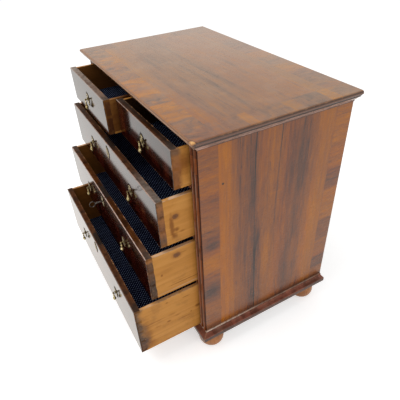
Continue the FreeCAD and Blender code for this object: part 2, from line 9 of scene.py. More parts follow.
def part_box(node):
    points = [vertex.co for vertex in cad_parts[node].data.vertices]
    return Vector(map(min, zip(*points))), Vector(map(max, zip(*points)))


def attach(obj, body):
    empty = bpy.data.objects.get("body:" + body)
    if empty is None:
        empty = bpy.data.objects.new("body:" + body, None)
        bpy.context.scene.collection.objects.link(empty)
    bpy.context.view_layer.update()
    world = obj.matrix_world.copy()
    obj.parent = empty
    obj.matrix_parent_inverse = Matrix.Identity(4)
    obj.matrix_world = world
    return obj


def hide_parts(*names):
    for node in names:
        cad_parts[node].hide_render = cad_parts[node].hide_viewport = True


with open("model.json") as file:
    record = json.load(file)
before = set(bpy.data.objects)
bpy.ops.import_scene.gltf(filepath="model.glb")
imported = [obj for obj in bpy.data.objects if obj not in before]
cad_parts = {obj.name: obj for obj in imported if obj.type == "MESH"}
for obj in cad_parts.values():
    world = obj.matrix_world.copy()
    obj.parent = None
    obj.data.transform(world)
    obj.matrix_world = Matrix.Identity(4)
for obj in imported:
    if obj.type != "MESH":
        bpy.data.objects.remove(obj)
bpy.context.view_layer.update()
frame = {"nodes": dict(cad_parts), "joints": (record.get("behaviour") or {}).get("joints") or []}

nodes = frame["nodes"]
print("frame loaded:", len(nodes), "nodes")

# The chest's own measures in metres, from the frame but for half the width of its opening.
sideLow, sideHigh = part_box("side_right")
frontLow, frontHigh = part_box("lower_front")
chest = {
    "halfWidth": sideHigh.x, "frontY": sideLow.y, "openingHalf": 0.4104,
    "lowerFloor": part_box("bottom_board")[1].z, "openingTop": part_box("carcase_top")[0].z,
    "drawerFront": frontHigh.y - frontLow.y,
}
drawerNames = ["lower", "middle", "upper", "small_left", "small_right"]


def tone(value):
    # A grey from one number, or the light of a screen colour from three. Other values stay.
    def linear(part):
        share = part / 255
        return share / 12.92 if share <= 0.04045 else ((share + 0.055) / 1.055) ** 2.4
    if isinstance(value, (int, float)):
        return (value, value, value, 1.0)
    if isinstance(value, tuple) and len(value) == 3:
        return (*(linear(part) for part in value), 1.0)
    return value


def summed(operation, turned=False):
    # A sum or a comparison that lays a maths node. A sum with three numbers is one of vectors.
    def layOne(wire, other):
        kind = vector if isinstance(other, tuple) else maths
        return kind(operation, other, wire) if turned else kind(operation, wire, other)
    return layOne


class Wire:
    # The output of a node, so that sums of outputs can be written plainly.
    def __init__(self, socket):
        self.socket = socket

    __add__, __radd__ = summed("ADD"), summed("ADD", True)
    __sub__, __rsub__ = summed("SUBTRACT"), summed("SUBTRACT", True)
    __mul__, __rmul__ = summed("MULTIPLY"), summed("MULTIPLY", True)
    __truediv__ = summed("DIVIDE")
    __lt__, __gt__ = summed("LESS_THAN"), summed("GREATER_THAN")

    def __abs__(self):
        return maths("ABSOLUTE", self)


def outputsOf(node):
    return {socket.name: Wire(socket) for socket in node.outputs}


def feed(socket, value):
    if isinstance(value, Wire):
        socket.id_data.links.new(value.socket, socket)
    else:
        socket.default_value = value


def lay(kind, values, output=0, **settings):
    # Lays a node in the tree of the outputs that it takes, and gives back its own output.
    tree = next(value.socket.id_data for value in values.values() if isinstance(value, Wire))
    node = tree.nodes.new(kind)
    for name, setting in settings.items():
        setattr(node, name, setting)
    for title, value in values.items():
        feed(node.inputs[title], value)
    return Wire(node.outputs[output])


def maths(operation, *values):
    return lay("ShaderNodeMath", dict(enumerate(values)), operation=operation)


def larger(one, other):
    return maths("MAXIMUM", one, other)


def smaller(one, other):
    return maths("MINIMUM", one, other)


def vector(operation, *values):
    output = "Value" if operation == "LENGTH" else "Vector"
    return lay("ShaderNodeVectorMath", dict(enumerate(values)), output, operation=operation)


def joined(x, y, z):
    return lay("ShaderNodeCombineXYZ", {0: x, 1: y, 2: z})


def split(place):
    return list(outputsOf(lay("ShaderNodeSeparateXYZ", {0: place}).socket.node).values())


def facing(place):
    # The way a face looks, in X, Y and Z, laid in the tree of the place.
    return split(outputsOf(place.socket.id_data.nodes.new("ShaderNodeNewGeometry"))["Normal"])


def noise(place, scale, detail=3.0, rough=0.5, output="Fac", swirl=0.0):
    values = {"Vector": place, "Scale": scale, "Detail": detail, "Roughness": rough,
        "Distortion": swirl}
    return lay("ShaderNodeTexNoise", values, output)


def speck(title, place, ways):
    # A random number for each whole step of a place.
    return lay("ShaderNodeTexWhiteNoise", {title: place}, "Value", noise_dimensions=ways)


def ease(value, start, end, low=0.0, high=1.0):
    # A soft step from low to high while the value goes from start to end.
    values = dict(enumerate((value, start, end, low, high)))
    return lay("ShaderNodeMapRange", values, interpolation_type="SMOOTHSTEP")


def ramp(share, stops):
    # Each stop is a share with a grey or a colour.
    wire = lay("ShaderNodeValToRGB", {0: share})
    band = wire.socket.node.color_ramp
    while len(band.elements) > 1:
        band.elements.remove(band.elements[-1])
    for number, (position, colour) in enumerate(stops):
        stop = band.elements[0] if number == 0 else band.elements.new(position)
        stop.position = position
        stop.color = tone(colour)
    return wire


def blend(share, under, over, kind="MIX"):
    values = {0: share, 6: tone(under), 7: tone(over)}
    return lay("ShaderNodeMix", values, 2, data_type="RGBA", blend_type=kind)


def shaded(colour, shade):
    return vector("MULTIPLY", colour, joined(shade, shade, shade))


def use(group, *values):
    # The values come in the order in which the group takes them.
    return outputsOf(lay("ShaderNodeGroup", dict(enumerate(values)), node_tree=group).socket.node)


def newGroup(name, takes, gives):
    tree = bpy.data.node_groups.new(name, "ShaderNodeTree")
    kinds = {"v": "NodeSocketVector", "f": "NodeSocketFloat"}
    for way, titles in (("INPUT", takes), ("OUTPUT", gives)):
        for title, kind in titles.items():
            tree.interface.new_socket(title, in_out=way, socket_type=kinds[kind])
    return tree, outputsOf(tree.nodes.new("NodeGroupInput")), tree.nodes.new("NodeGroupOutput").inputs


# Shared effects.

def makeWoodGrain():
    # Fibres drawn out along the grain. Grain holds how much each axis counts, small along the fibres.
    tree, given, result = newGroup("woodGrain", {"Place": "v", "Grain": "v", "Seed": "f"},
        {"Fibre": "f", "Figure": "f", "Cloud": "f", "Vein": "f"})
    shift = joined(given["Seed"] * 3.17, given["Seed"] * 1.71, given["Seed"] * 2.39)
    drawn = vector("ADD", vector("MULTIPLY", given["Place"], given["Grain"]), shift)
    sway = noise(drawn, 11.0, 2.0, output="Color") - (0.5, 0.5, 0.5)
    swayed = vector("ADD", drawn, sway * (0.016, 0.016, 0.016))
    feed(result["Fibre"], noise(swayed, 430.0, 4.0, 0.62))
    feed(result["Figure"], noise(swayed, 72.0, 6.0, 0.68))
    feed(result["Cloud"], noise(swayed, 16.0, 2.0, 0.5))
    vein = abs(noise(swayed, 38.0, 3.0, 0.62) - 0.5)
    feed(result["Vein"], ease(vein, 0.020, 0.0) * ease(noise(swayed, 23.0, 2.0), 0.44, 0.60))
    return tree


def makeRubbedEdge():
    # A mask along the edges of a board, near two of its faces at once and broken up by noise: for wear,
    # and on the top for a painted highlight.
    tree, given, result = newGroup("edgeWearAndHighlight", {"Place": "v", "Low": "v", "High": "v", "Width": "f"},
        {"Edging": "f"})
    toLow = vector("ABSOLUTE", vector("SUBTRACT", given["Place"], given["Low"]))
    toHigh = vector("ABSOLUTE", vector("SUBTRACT", given["High"], given["Place"]))
    near = split(vector("MINIMUM", toLow, toHigh))
    lesser = smaller(near[0], near[1])
    greater = larger(near[0], near[1])
    second = larger(lesser, smaller(greater, near[2]))
    broken = ease(noise(given["Place"], 75.0, 4.0, 0.6), 0.38, 0.68, 0.15, 1.7)
    reach = given["Width"] * broken
    feed(result["Edging"], ease(second, reach, 0.0))
    return tree


def makeSpot():
    # A ragged patch at one place, such as a knot, a chip or a stain.
    tree, given, result = newGroup("spot", {"Place": "v", "Centre": "v", "Size": "v", "Ragged": "f"},
        {"Mask": "f", "Out": "f"})
    away = vector("DIVIDE", vector("SUBTRACT", given["Place"], given["Centre"]), given["Size"])
    rough = noise(given["Place"], 110.0, 3.0, 0.6) - 0.5
    out = vector("LENGTH", away) + rough * given["Ragged"]
    feed(result["Mask"], ease(out, 1.0, 0.6))
    feed(result["Out"], out)
    return tree


def makeSettledDust():
    # Dust and old wax, in slow clouds, and more on faces that look up.
    tree, given, result = newGroup("settledDust", {"Place": "v", "Amount": "f"},
        {"Dust": "f", "Smear": "f"})
    up = facing(given["Place"])[2]
    cloud = noise(given["Place"], 13.0, 5.0, 0.65)
    lying = ease(up, 0.3, 1.0) * ease(cloud, 0.42, 0.75)
    feed(result["Dust"], lying * given["Amount"])
    feed(result["Smear"], noise(given["Place"], 38.0, 4.0, 0.6))
    return tree


def makeCrossCut():
    # Short cross-grain pieces laid side by side: a tone for each, and a dark line at each joint.
    tree, given, result = newGroup("crossCut", {"Along": "f", "Pitch": "f", "Seed": "f"},
        {"Tone": "f", "Joint": "f"})
    count = given["Along"] / given["Pitch"]
    bent = count + noise(joined(count, given["Seed"], 0.0), 1.3, 1.0) * 0.9
    number = maths("FLOOR", bent)
    edge = abs(maths("FRACT", bent) - 0.5)
    feed(result["Tone"], speck("Vector", joined(number, given["Seed"], 0.0), "2D"))
    feed(result["Joint"], ease(edge, 0.478, 0.495))
    return tree


woodGrain = makeWoodGrain()
edgeWearAndHighlight = makeRubbedEdge()
spot = makeSpot()
settledDust = makeSettledDust()
crossCut = makeCrossCut()
print("shared effects made")


def feedShader(material, values):
    shader = material.node_tree.nodes["Principled BSDF"]
    for title, value in values.items():
        feed(shader.inputs[title.replace("_", " ")], value)


def newFinish(name, **fixed):
    # A material with its shader's plain values set, and the place of each point on the piece.
    material = bpy.data.materials.new(name)
    material.use_nodes = True
    feedShader(material, fixed)
    return material, outputsOf(material.node_tree.nodes.new("ShaderNodeTexCoord"))["Object"]


def finished(material, colour, rough, height, distance, strength, **more):
    # The rest of a finish, with a bump from its height.
    bump = lay("ShaderNodeBump", {"Height": height, "Distance": distance, "Strength": strength})
    feedShader(material, {"Base Color": colour, "Roughness": rough, "Normal": bump, **more})
    return material


# Old waxed walnut from its dark streaks to its most orange parts. The top is faded by daylight.
sideTones = [(0.0, (40, 34, 33)), (0.2, (84, 58, 49)), (0.4, (122, 74, 48)), (0.6, (147, 88, 42)),
    (0.8, (164, 98, 26)), (1.0, (182, 110, 16))]
topTones = [(0.0, (46, 36, 32)), (0.2, (86, 64, 52)), (0.4, (115, 84, 65)), (0.6, (135, 95, 66)),
    (0.8, (152, 99, 42)), (1.0, (170, 109, 26))]


def pieceLights(pieces, soft=0.006):
    # Pieces of veneer side by side: where each one starts and how light it is, with soft joints.
    stops = [(0.0, pieces[0][1])]
    for before, after in zip(pieces, pieces[1:]):
        stops += [(after[0] - soft, before[1]), (after[0] + soft, after[1])]
    return stops


def addPatches(light, place, patches, at):
    # Soft lighter and darker clouds in the wood at given places of one face.
    for across, down, halfAcross, halfDown, change in patches:
        centre, size = at(across, down, halfAcross, halfDown)
        mark = use(spot, place, centre, size, 0.55)
        light = ease(mark["Out"], 1.2, 0.1) * change + light
    return light


def addFigure(light, grain, figure, fibre, cloud):
    for title, amount in (("Figure", figure), ("Fibre", fibre), ("Cloud", cloud)):
        part = grain[title] - 0.5
        light = part * amount + light
    return light


def addBlush(colour, grain, amount):
    # Redder and duller passages, drawn out with the grain.
    share = ease(grain["Cloud"], 0.42, 0.66, 0.0, amount)
    return blend(share, colour, (1.02, 0.80, 0.80, 1.0), kind="MULTIPLY")


def thinLine(away, half):
    return ease(abs(away), half, half * 0.25)


# Walnut of the top: a field with its grain along X, in a border laid across the grain.

topVeneer = {
    "border": 0.078,
    # Share from the back to the front, and how light the wood is there.
    "fieldLight": [(0.0, 0.60), (0.15, 0.66), (0.25, 0.62), (0.38, 0.60), (0.50, 0.56), (0.58, 0.60),
        (0.72, 0.56), (0.80, 0.60), (0.86, 0.72), (1.0, 0.62)],
    # Share along the edge where each piece starts, and how light it is.
    "frontPieces": [(0.0, 0.56), (0.195, 0.74), (0.306, 0.50), (0.40, 0.54), (0.478, 0.78),
        (0.575, 0.68), (0.600, 0.84), (0.648, 0.64), (0.728, 0.84), (0.790, 0.70), (0.808, 0.86),
        (0.860, 0.58)],
    "backPieces": [(0.0, 0.52), (0.11, 0.62), (0.306, 0.48), (0.482, 0.72), (0.560, 0.60),
        (0.644, 0.78), (0.737, 0.50), (0.87, 0.54)],
    "rightPieces": [(0.0, 0.52), (0.115, 0.80), (0.205, 0.48), (0.365, 0.66), (0.44, 0.54),
        (0.640, 0.80), (0.690, 0.56), (0.80, 0.60)],
    "leftPieces": [(0.0, 0.52), (0.29, 0.64), (0.39, 0.54), (0.60, 0.60), (0.77, 0.40), (0.87, 0.52)],
    # From the left, from the back, half sizes, and the change in lightness.
    "clouds": [(0.33, 0.20, 0.07, 0.05, 0.05), (0.52, 0.18, 0.06, 0.014, -0.16),
        (0.16, 0.14, 0.07, 0.03, 0.08), (0.31, 0.39, 0.10, 0.07, -0.12),
        (0.17, 0.44, 0.08, 0.035, 0.08), (0.40, 0.41, 0.13, 0.016, -0.12),
        (0.62, 0.452, 0.32, 0.016, -0.15), (0.58, 0.400, 0.06, 0.010, -0.14),
        (0.60, 0.288, 0.26, 0.016, -0.15), (0.68, 0.335, 0.28, 0.014, -0.14),
        (0.82, 0.475, 0.09, 0.02, 0.16), (0.80, 0.415, 0.08, 0.014, 0.14),
        (0.66, 0.535, 0.04, 0.030, -0.10), (0.68, 0.550, 0.022, 0.012, 0.26),
        (0.83, 0.29, 0.09, 0.014, 0.16), (0.25, 0.29, 0.20, 0.010, -0.12),
        (0.73, 0.10, 0.12, 0.022, 0.06), (0.12, 0.30, 0.10, 0.10, -0.05)],
    "darkLine": [(0.0, 0.515), (0.30, 0.522), (0.45, 0.517), (0.75, 0.480), (1.0, 0.485)],
    # The chip, then how strong the painted sheen towards the back and left and the darkening of the
    # front right corner are.
    "chip": (0.4735, -0.1722, 0.9022), "paintedSheen": 0.32, "lessSheen": 0.95,
}


def topWalnut():
    material, place = newFinish("walnutTop", IOR=1.5)
    low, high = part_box("top_board")
    width, depth = high.x - low.x, high.y - low.y
    x, y, z = split(place)
    shiver = (noise(place, 42.0, 3.0, 0.6) - 0.5) * 0.010
    fromLeft = x - low.x
    fromFront = y - low.y
    fromBack = high.y - y
    fromRight = high.x - x
    toEnds = smaller(fromLeft, fromRight)
    border = topVeneer["border"]
    inFront = fromFront < border
    inBack = fromBack < border
    inLong = larger(inFront, inBack)
    inEnds = toEnds < border
    inBorder = larger(inLong, inEnds)
    alongX = fromLeft / width + shiver
    alongY = fromBack / depth + shiver

    grainWay = blend(inLong, (0.045, 1.0, 1.0, 1.0), (1.0, 0.12, 1.0, 1.0))
    seed = inLong * 5.0 + inEnds * 2.0
    grain = use(woodGrain, place, grainWay, seed)
    wave = noise(place * (1.0, 2.0, 1.0), 3.2, 3.0)
    bentY = (wave - 0.5) * 0.09 + alongY
    ripple = noise(place * (1.0, 0.55, 1.0), 26.0, 4.0, 0.58, swirl=1.6)
    light = ramp(bentY, topVeneer["fieldLight"])
    isRight = x > 0.0
    ends = blend(isRight, ramp(alongY, pieceLights(topVeneer["leftPieces"])),
        ramp(alongY, pieceLights(topVeneer["rightPieces"])))
    light = blend(inEnds, light, ends)
    light = blend(inBack, light, ramp(alongX, pieceLights(topVeneer["backPieces"])))
    light = blend(inFront, light, ramp(alongX, pieceLights(topVeneer["frontPieces"])))

    def at(across, down, halfAcross, halfDown):
        return (low.x + across, high.y - down, high.z), (halfAcross, halfDown, 0.05)

    light = addPatches(light, place, topVeneer["clouds"], at)
    curl = (ripple - 0.5) * blend(inFront, blend(inBorder, 0.3, 0.8), 1.3)
    light += curl

    lineAway = bentY - ramp(alongX, topVeneer["darkLine"])
    line = thinLine(lineAway, 0.006) * (1.0 - inBorder)
    line *= ease(wave, 0.62, 0.42)
    light = addFigure(light, grain, 0.60, 0.62, 0.18)
    light -= grain["Vein"] * 0.17
    light -= line * 0.15
    seam = larger(thinLine(fromFront - border, 0.0016), thinLine(fromBack - border, 0.0016))
    endSeam = thinLine(toEnds - border, 0.0016)
    endSeam *= 1.0 - inLong
    seam = larger(seam, endSeam)
    light -= seam * 0.10
    colour = addBlush(ramp(light, topTones), grain, 0.42)
    # A painted sheen greys the top towards the back and left, and the front right corner is painted
    # darker and redder, with less sheen.
    corner = alongX + alongY * 0.9
    colour = blend(ease(corner, 1.25, 0.15, 0.0, topVeneer["paintedSheen"]), colour, (176, 158, 150))
    colour = blend(ease(corner, 1.15, 1.85, 0.0, topVeneer["lessSheen"]), colour,
        (0.84, 0.72, 0.70, 1.0), kind="MULTIPLY")

    # The edge: a dark line under the arris, a brown nose and a dark line at its foot.
    nose = ramp(ease(z, low.z, high.z),
        [(0.0, (48, 32, 26)), (0.16, (60, 40, 32)), (0.30, (98, 66, 52)), (0.62, (116, 82, 66)),
        (0.80, (66, 42, 32)), (0.93, (60, 38, 28)), (1.0, (122, 80, 52))])
    # The front run is lighter, like the top, down to the middle of the nose, and very dark below it:
    # painted light and shade.
    litAndShadedNose = ramp(ease(z, low.z, high.z),
        [(0.0, (30, 20, 16)), (0.30, (62, 42, 32)), (0.50, (132, 92, 62)), (0.78, (158, 110, 72)),
        (0.86, (108, 72, 48)), (0.95, (118, 78, 50)), (1.0, (150, 100, 62))])
    nose = blend(fromFront < toEnds, nose, litAndShadedNose)
    atEdge = ease(z, high.z - 0.0004, high.z - 0.0012)
    colour = blend(atEdge, colour, nose)
    # Paler along the arrises: a painted highlight.
    edgeMarks = use(edgeWearAndHighlight, place, low, high, 0.0036)
    colour = blend(edgeMarks["Edging"] * 0.5, colour, (176, 126, 84))
    chip = use(spot, place, topVeneer["chip"], (0.0118, 0.0088, 0.016), 2.2)
    chipTone = blend(ease(chip["Out"], 0.2, 0.8), (212, 160, 96), (150, 98, 56))
    chipEdge = ease(chip["Out"], 1.25, 1.0)
    colour = blend(chipEdge * 0.7, colour, (52, 32, 22))
    colour = blend(chip["Mask"], colour, chipTone)
    crackAt = tuple(a + b for a, b in zip(topVeneer["chip"], (0.002, -0.0065, 0.0)))
    crack = use(spot, place, crackAt, (0.0065, 0.0022, 0.016), 1.6)
    colour = blend(crack["Mask"] * 0.75, colour, (70, 42, 24))
    dust = use(settledDust, place, 0.10)
    colour = blend(dust["Dust"], colour, (186, 164, 140))
    rough = ease(dust["Smear"], 0.3, 0.7, 0.22, 0.28)
    height = grain["Fibre"] - (seam + chip["Mask"])
    return finished(material, colour, rough, height, 0.0002, 0.35)


# Walnut of the sides: an upright field between two cross-grain borders, with its long dark streaks.

sideVeneer = {
    "frontBorder": 0.062, "strip": 0.104, "backBorder": 0.063,
    # Share from the front edge to the back, and how light the wood is there.
    "fieldLight": [(0.0, 0.60), (0.19, 0.66), (0.23, 0.50), (0.29, 0.46), (0.355, 0.40), (0.40, 0.50),
        (0.455, 0.58), (0.52, 0.52), (0.57, 0.45), (0.64, 0.42), (0.71, 0.44), (0.76, 0.54),
        (0.80, 0.66), (0.87, 0.70), (0.90, 0.60), (1.0, 0.56)],
    "frontPieces": [(0.0, 0.50), (0.10, 0.58), (0.20, 0.46), (0.306, 0.56), (0.385, 0.40),
        (0.505, 0.70), (0.62, 0.46), (0.70, 0.36), (0.80, 0.56), (0.90, 0.50)],
    "backPieces": [(0.0, 0.70), (0.17, 0.62), (0.297, 0.36), (0.41, 0.70), (0.59, 0.44), (0.725, 0.56),
        (0.842, 0.34), (0.923, 0.52)],
    # From the front edge, from the top, half sizes, and the change in lightness.
    "clouds": [(0.170, 0.08, 0.040, 0.10, -0.08), (0.182, 0.24, 0.022, 0.16, -0.16),
        (0.198, 0.42, 0.024, 0.13, -0.24), (0.196, 0.62, 0.020, 0.20, -0.14),
        (0.350, 0.16, 0.070, 0.20, -0.12), (0.356, 0.43, 0.034, 0.13, -0.12),
        (0.332, 0.60, 0.030, 0.20, -0.11), (0.245, 0.50, 0.022, 0.13, 0.16),
        # The patch at 0.455 from the front and 0.03 from the top is painted reflection: a place where
        # the gloss reflects nothing bright.
        (0.430, 0.50, 0.050, 0.26, 0.12), (0.455, 0.03, 0.050, 0.08, 0.02),
        (0.410, 0.17, 0.090, 0.18, -0.05), (0.120, 0.20, 0.020, 0.20, 0.06),
        (0.140, 0.42, 0.030, 0.12, -0.06), (0.110, 0.62, 0.030, 0.10, 0.06),
        (0.035, 0.345, 0.036, 0.035, -0.20), (0.030, 0.550, 0.036, 0.040, -0.16),
        (0.035, 0.425, 0.030, 0.035, 0.12), (0.270, 0.235, 0.035, 0.006, 0.10),
        (0.408, 0.590, 0.012, 0.008, -0.16), (0.085, 0.045, 0.022, 0.06, 0.14),
        (0.125, 0.572, 0.008, 0.014, -0.12)],
    # Two thin dark lines: share from the front, and strength, at shares of the way down.
    "darkLines": [
        ([(0.0, 0.334), (0.3, 0.340), (0.55, 0.352), (0.75, 0.368), (1.0, 0.380)],
        [(0.0, 0.30), (0.2, 0.18), (0.38, 0.07), (0.55, 0.09), (0.66, 0.18), (0.82, 0.22),
        (1.0, 0.52)]),
        ([(0.0, 0.507), (0.4, 0.492), (0.62, 0.505), (0.85, 0.555), (1.0, 0.580)],
        [(0.0, 0.40), (0.1, 0.26), (0.45, 0.16), (0.60, 0.06), (0.86, 0.10), (1.0, 0.36)])],
    "hole": (0.076, 0.131),
}


def sideWalnut(node):
    material, place = newFinish("walnutSide_" + node, IOR=1.5, Specular_IOR_Level=0.4)
    low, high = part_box(node)
    head, base = chest["openingTop"], chest["lowerFloor"]
    depth, height = high.y - low.y, head - base
    isLeft = node == "side_left"
    x, y, z = split(place)
    shiver = (noise(place, 42.0, 3.0, 0.6) - 0.5) * 0.012
    fromFront = y - low.y
    fromTop = z - base if isLeft else head - z
    across = fromFront / depth
    down = fromTop / height + shiver
    inFront = fromFront < sideVeneer["frontBorder"]
    inStrip = fromFront < sideVeneer["strip"]
    inBack = fromFront > depth - sideVeneer["backBorder"]
    inBorder = larger(inFront, inBack)

    grainWay = blend(inBorder, (1.0, 1.0, 0.045, 1.0), (1.0, 0.09, 1.0, 1.0))
    seed = inBorder * 5.0 + inStrip * 2.0
    seed += 1.7 if isLeft else 0.0
    grain = use(woodGrain, place, grainWay, seed)
    wave = noise(place * (0.0, 2.0, 1.0), 3.0, 3.0)
    lean = (down - 0.5) * 0.045
    bent = (wave - 0.5) * 0.06 + across
    light = ramp(bent - lean, sideVeneer["fieldLight"])
    strip = ease(fromFront, sideVeneer["strip"] + 0.006, sideVeneer["strip"] - 0.010)
    light = blend(strip, light, 0.72)
    light = blend(inFront, light, ramp(down, pieceLights(sideVeneer["frontPieces"], 0.02)))
    light = blend(inBack, light, ramp(down, pieceLights(sideVeneer["backPieces"], 0.008)))
    outer = low.x if isLeft else high.x

    def at(back, fall, halfBack=0.0046, halfFall=0.0046, reach=0.05):
        z = base + fall if isLeft else head - fall
        return (outer, low.y + back, z), (reach, halfBack, halfFall)

    light = addPatches(light, place, sideVeneer["clouds"], at)
    light = addFigure(light, grain, 0.74, 0.80, 0.24)
    light -= grain["Vein"] * 0.22
    for path, strengths in sideVeneer["darkLines"]:
        away = bent - ramp(down, path)
        line = thinLine(away, 0.0065) * ramp(down, strengths)
        light -= line
    seam = thinLine(fromFront - sideVeneer["frontBorder"], 0.0014)
    backSeam = thinLine(fromFront - (depth - sideVeneer["backBorder"]), 0.0014)
    seam = larger(seam, backSeam)
    light -= seam * 0.10
    colour = addBlush(ramp(light, sideTones), grain, 0.34)

    fromFace = chest["halfWidth"] - abs(x)
    pale = blend(grain["Figure"], (96, 62, 36), (150, 104, 62))
    colour = blend(fromFace > 0.0015, colour, pale)
    # Darker along the foot of the side, more towards the back: painted shade, and dirt.
    footShadeAndDirt = ease(z - base, 0.024, 0.002)
    footShadeAndDirt *= ease(across, 0.1, 0.7, 0.40, 0.72)
    colour = blend(footShadeAndDirt, colour, (62, 36, 26))
    hole = use(spot, place, *at(*sideVeneer["hole"], reach=0.02), 0.3)
    colour = blend(hole["Mask"], colour, (28, 18, 12))
    smear = use(settledDust, place, 0.0)["Smear"]
    rough = ease(smear, 0.3, 0.7, 0.22, 0.36)
    height = grain["Fibre"] - (seam + hole["Mask"])
    return finished(material, colour, rough, height, 0.0002, 0.35)


# Each drawer side: knots and stains by distance behind the front's face and below the side's top, with
# half sizes, and the tones of the joint where the side runs into the front. The left side's distances
# behind the front are given below zero. Rim says how strong the painted highlight along the top edge
# is, footRim how pale the lower edge is, blotched how dark the dirt at the joint is, and soiling how
# coarse, uneven and soft its edge is. The two others give how much painted shade lies on the outer
# face in the gap beside the side, at the joint and further back, and on the left inner face.
drawerPine = {
    "upper": {
        "knots": [(0.056, 0.066, 0.011, 0.010), (-0.088, 0.112, 0.012, 0.009)],
        "stains": [(0.042, 0.100, 0.009, 0.055, -0.55), (0.056, 0.114, 0.012, 0.010, -0.50),
            (0.050, 0.136, 0.012, 0.012, -0.45), (0.074, 0.128, 0.012, 0.006, -0.25),
            (0.085, 0.025, 0.040, 0.020, 0.14), (-0.060, 0.040, 0.050, 0.004, -0.30)],
        "rim": 0.65, "blotched": 0.4,
        "joint": [(0.0, (104, 80, 62)), (0.12, (150, 98, 58)), (0.32, (100, 66, 46)),
            (0.40, (150, 98, 56)), (0.62, (108, 68, 46)), (0.72, (142, 92, 56)), (0.88, (98, 72, 58)),
            (1.0, (122, 82, 50))],
    },
    "middle": {
        "knots": [(0.103, 0.027, 0.014, 0.011), (-0.070, 0.060, 0.010, 0.012)],
        "stains": [(0.045, 0.088, 0.005, 0.006, -0.55), (0.128, 0.024, 0.014, 0.003, -0.25),
            (0.120, 0.140, 0.050, 0.004, -0.20), (0.060, 0.080, 0.030, 0.016, -0.10),
            (0.080, 0.006, 0.090, 0.006, 0.12), (-0.120, 0.140, 0.050, 0.006, -0.30),
            (0.125, 0.1500, 0.080, 0.0022, -0.65)],
        "rim": 0.5, "footRim": 0.8,
        "joint": [(0.0, (120, 78, 46)), (0.06, (160, 104, 52)), (0.12, (84, 60, 46)),
            (0.40, (96, 66, 48)), (0.60, (58, 48, 44)), (0.78, (44, 40, 40)), (0.92, (70, 54, 46)),
            (1.0, (80, 58, 44))],
    },
    "lower": {
        "knots": [(-0.150, 0.072, 0.014, 0.012), (-0.085, 0.168, 0.009, 0.010)],
        "stains": [(0.188, 0.030, 0.022, 0.003, -0.45), (0.116, 0.020, 0.007, 0.005, -0.35),
            (0.115, 0.117, 0.011, 0.006, -0.50), (0.203, 0.119, 0.006, 0.005, -0.40),
            (0.230, 0.103, 0.012, 0.010, -0.60), (0.060, 0.088, 0.060, 0.004, -0.28),
            (0.130, 0.088, 0.020, 0.008, -0.20), (0.072, 0.118, 0.016, 0.006, -0.22),
            (0.150, 0.105, 0.014, 0.004, -0.28), (0.175, 0.132, 0.030, 0.004, -0.28),
            (0.190, 0.148, 0.020, 0.004, -0.20), (0.150, 0.212, 0.100, 0.006, -0.25),
            (0.034, 0.140, 0.024, 0.100, -0.30), (0.046, 0.195, 0.028, 0.032, -0.20),
            (0.110, 0.055, 0.090, 0.030, 0.08), (-0.100, 0.200, 0.090, 0.006, -0.30),
            (-0.120, 0.120, 0.060, 0.004, -0.25)],
        "soiling": (15.0, 0.070, 0.030), "blotched": 0.4, "rim": 0.35,
        "joint": [(0.0, (96, 66, 44)), (0.15, (92, 70, 54)), (0.35, (78, 62, 52)),
            (0.50, (88, 72, 62)), (0.72, (70, 58, 52)), (0.85, (80, 56, 48)), (1.0, (88, 60, 44))],
    },
    "small_right": {
        "knots": [],
        "stains": [(0.024, 0.067, 0.0025, 0.009, -0.65), (0.021, 0.104, 0.005, 0.003, -0.6),
            (0.030, 0.050, 0.040, 0.045, -0.45), (0.045, 0.115, 0.020, 0.010, 0.20)],
        "joint": [(0.0, (118, 90, 72)), (0.10, (116, 84, 62)), (0.18, (150, 98, 54)),
            (0.5, (146, 92, 52)), (0.8, (128, 80, 46)), (1.0, (140, 88, 48))],
        "blotched": 0.2, "soiling": (15.0, 0.030, 0.016), "insideShade": 0.85,
    },
    "small_left": {
        "knots": [],
        # The one large stain here is painted shade in the gap beside the small right drawer.
        "stains": [(0.075, 0.075, 0.110, 0.110, -0.5)],
        "shadeAndAge": (0.60, 1.0), "insideShade": 0.4,
        "joint": [(0.0, (108, 66, 30)), (0.5, (102, 60, 24)), (1.0, (72, 38, 16))],
        "blotched": 0.25,
    },
}


def jointPine(place, name):
    # The soiled end of the joint, seen from the side: the front's end and the tails that lie in it.
    low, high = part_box(name + "_sides")
    down = (high.z - split(place)[2]) / (high.z - low.z)
    ragged = noise(place, 40.0, 4.0, 0.6) - 0.5
    joint = ramp(ragged * 0.05 + down, drawerPine[name]["joint"])
    blotch = noise(place, 90.0, 5.0, 0.65)
    joint = blend(ease(blotch, 0.50, 0.72, 0.0, 0.45), joint, (140, 98, 62))
    dark = ease(blotch, 0.52, 0.34, 0.0, drawerPine[name].get("blotched", 0.65))
    joint = blend(dark, joint, (42, 28, 20))
    # How far the soiling reaches back from the joint: 1 in it, 0 on the clean side.
    coarse, uneven, soft = drawerPine[name].get("soiling", (40.0, 0.006, 0.0012))
    behind = split(place)[1] - (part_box(name + "_front")[0].y + chest["drawerFront"])
    ragged = noise(place, coarse, 4.0, 0.6) - 0.5
    reach = ragged * uneven + behind
    return joint, reach, ease(reach, soft * 0.6, -soft * 0.4, 0.0, 0.94)


# Brasses: their sizes, and their places on each front, from the joints of the drops.

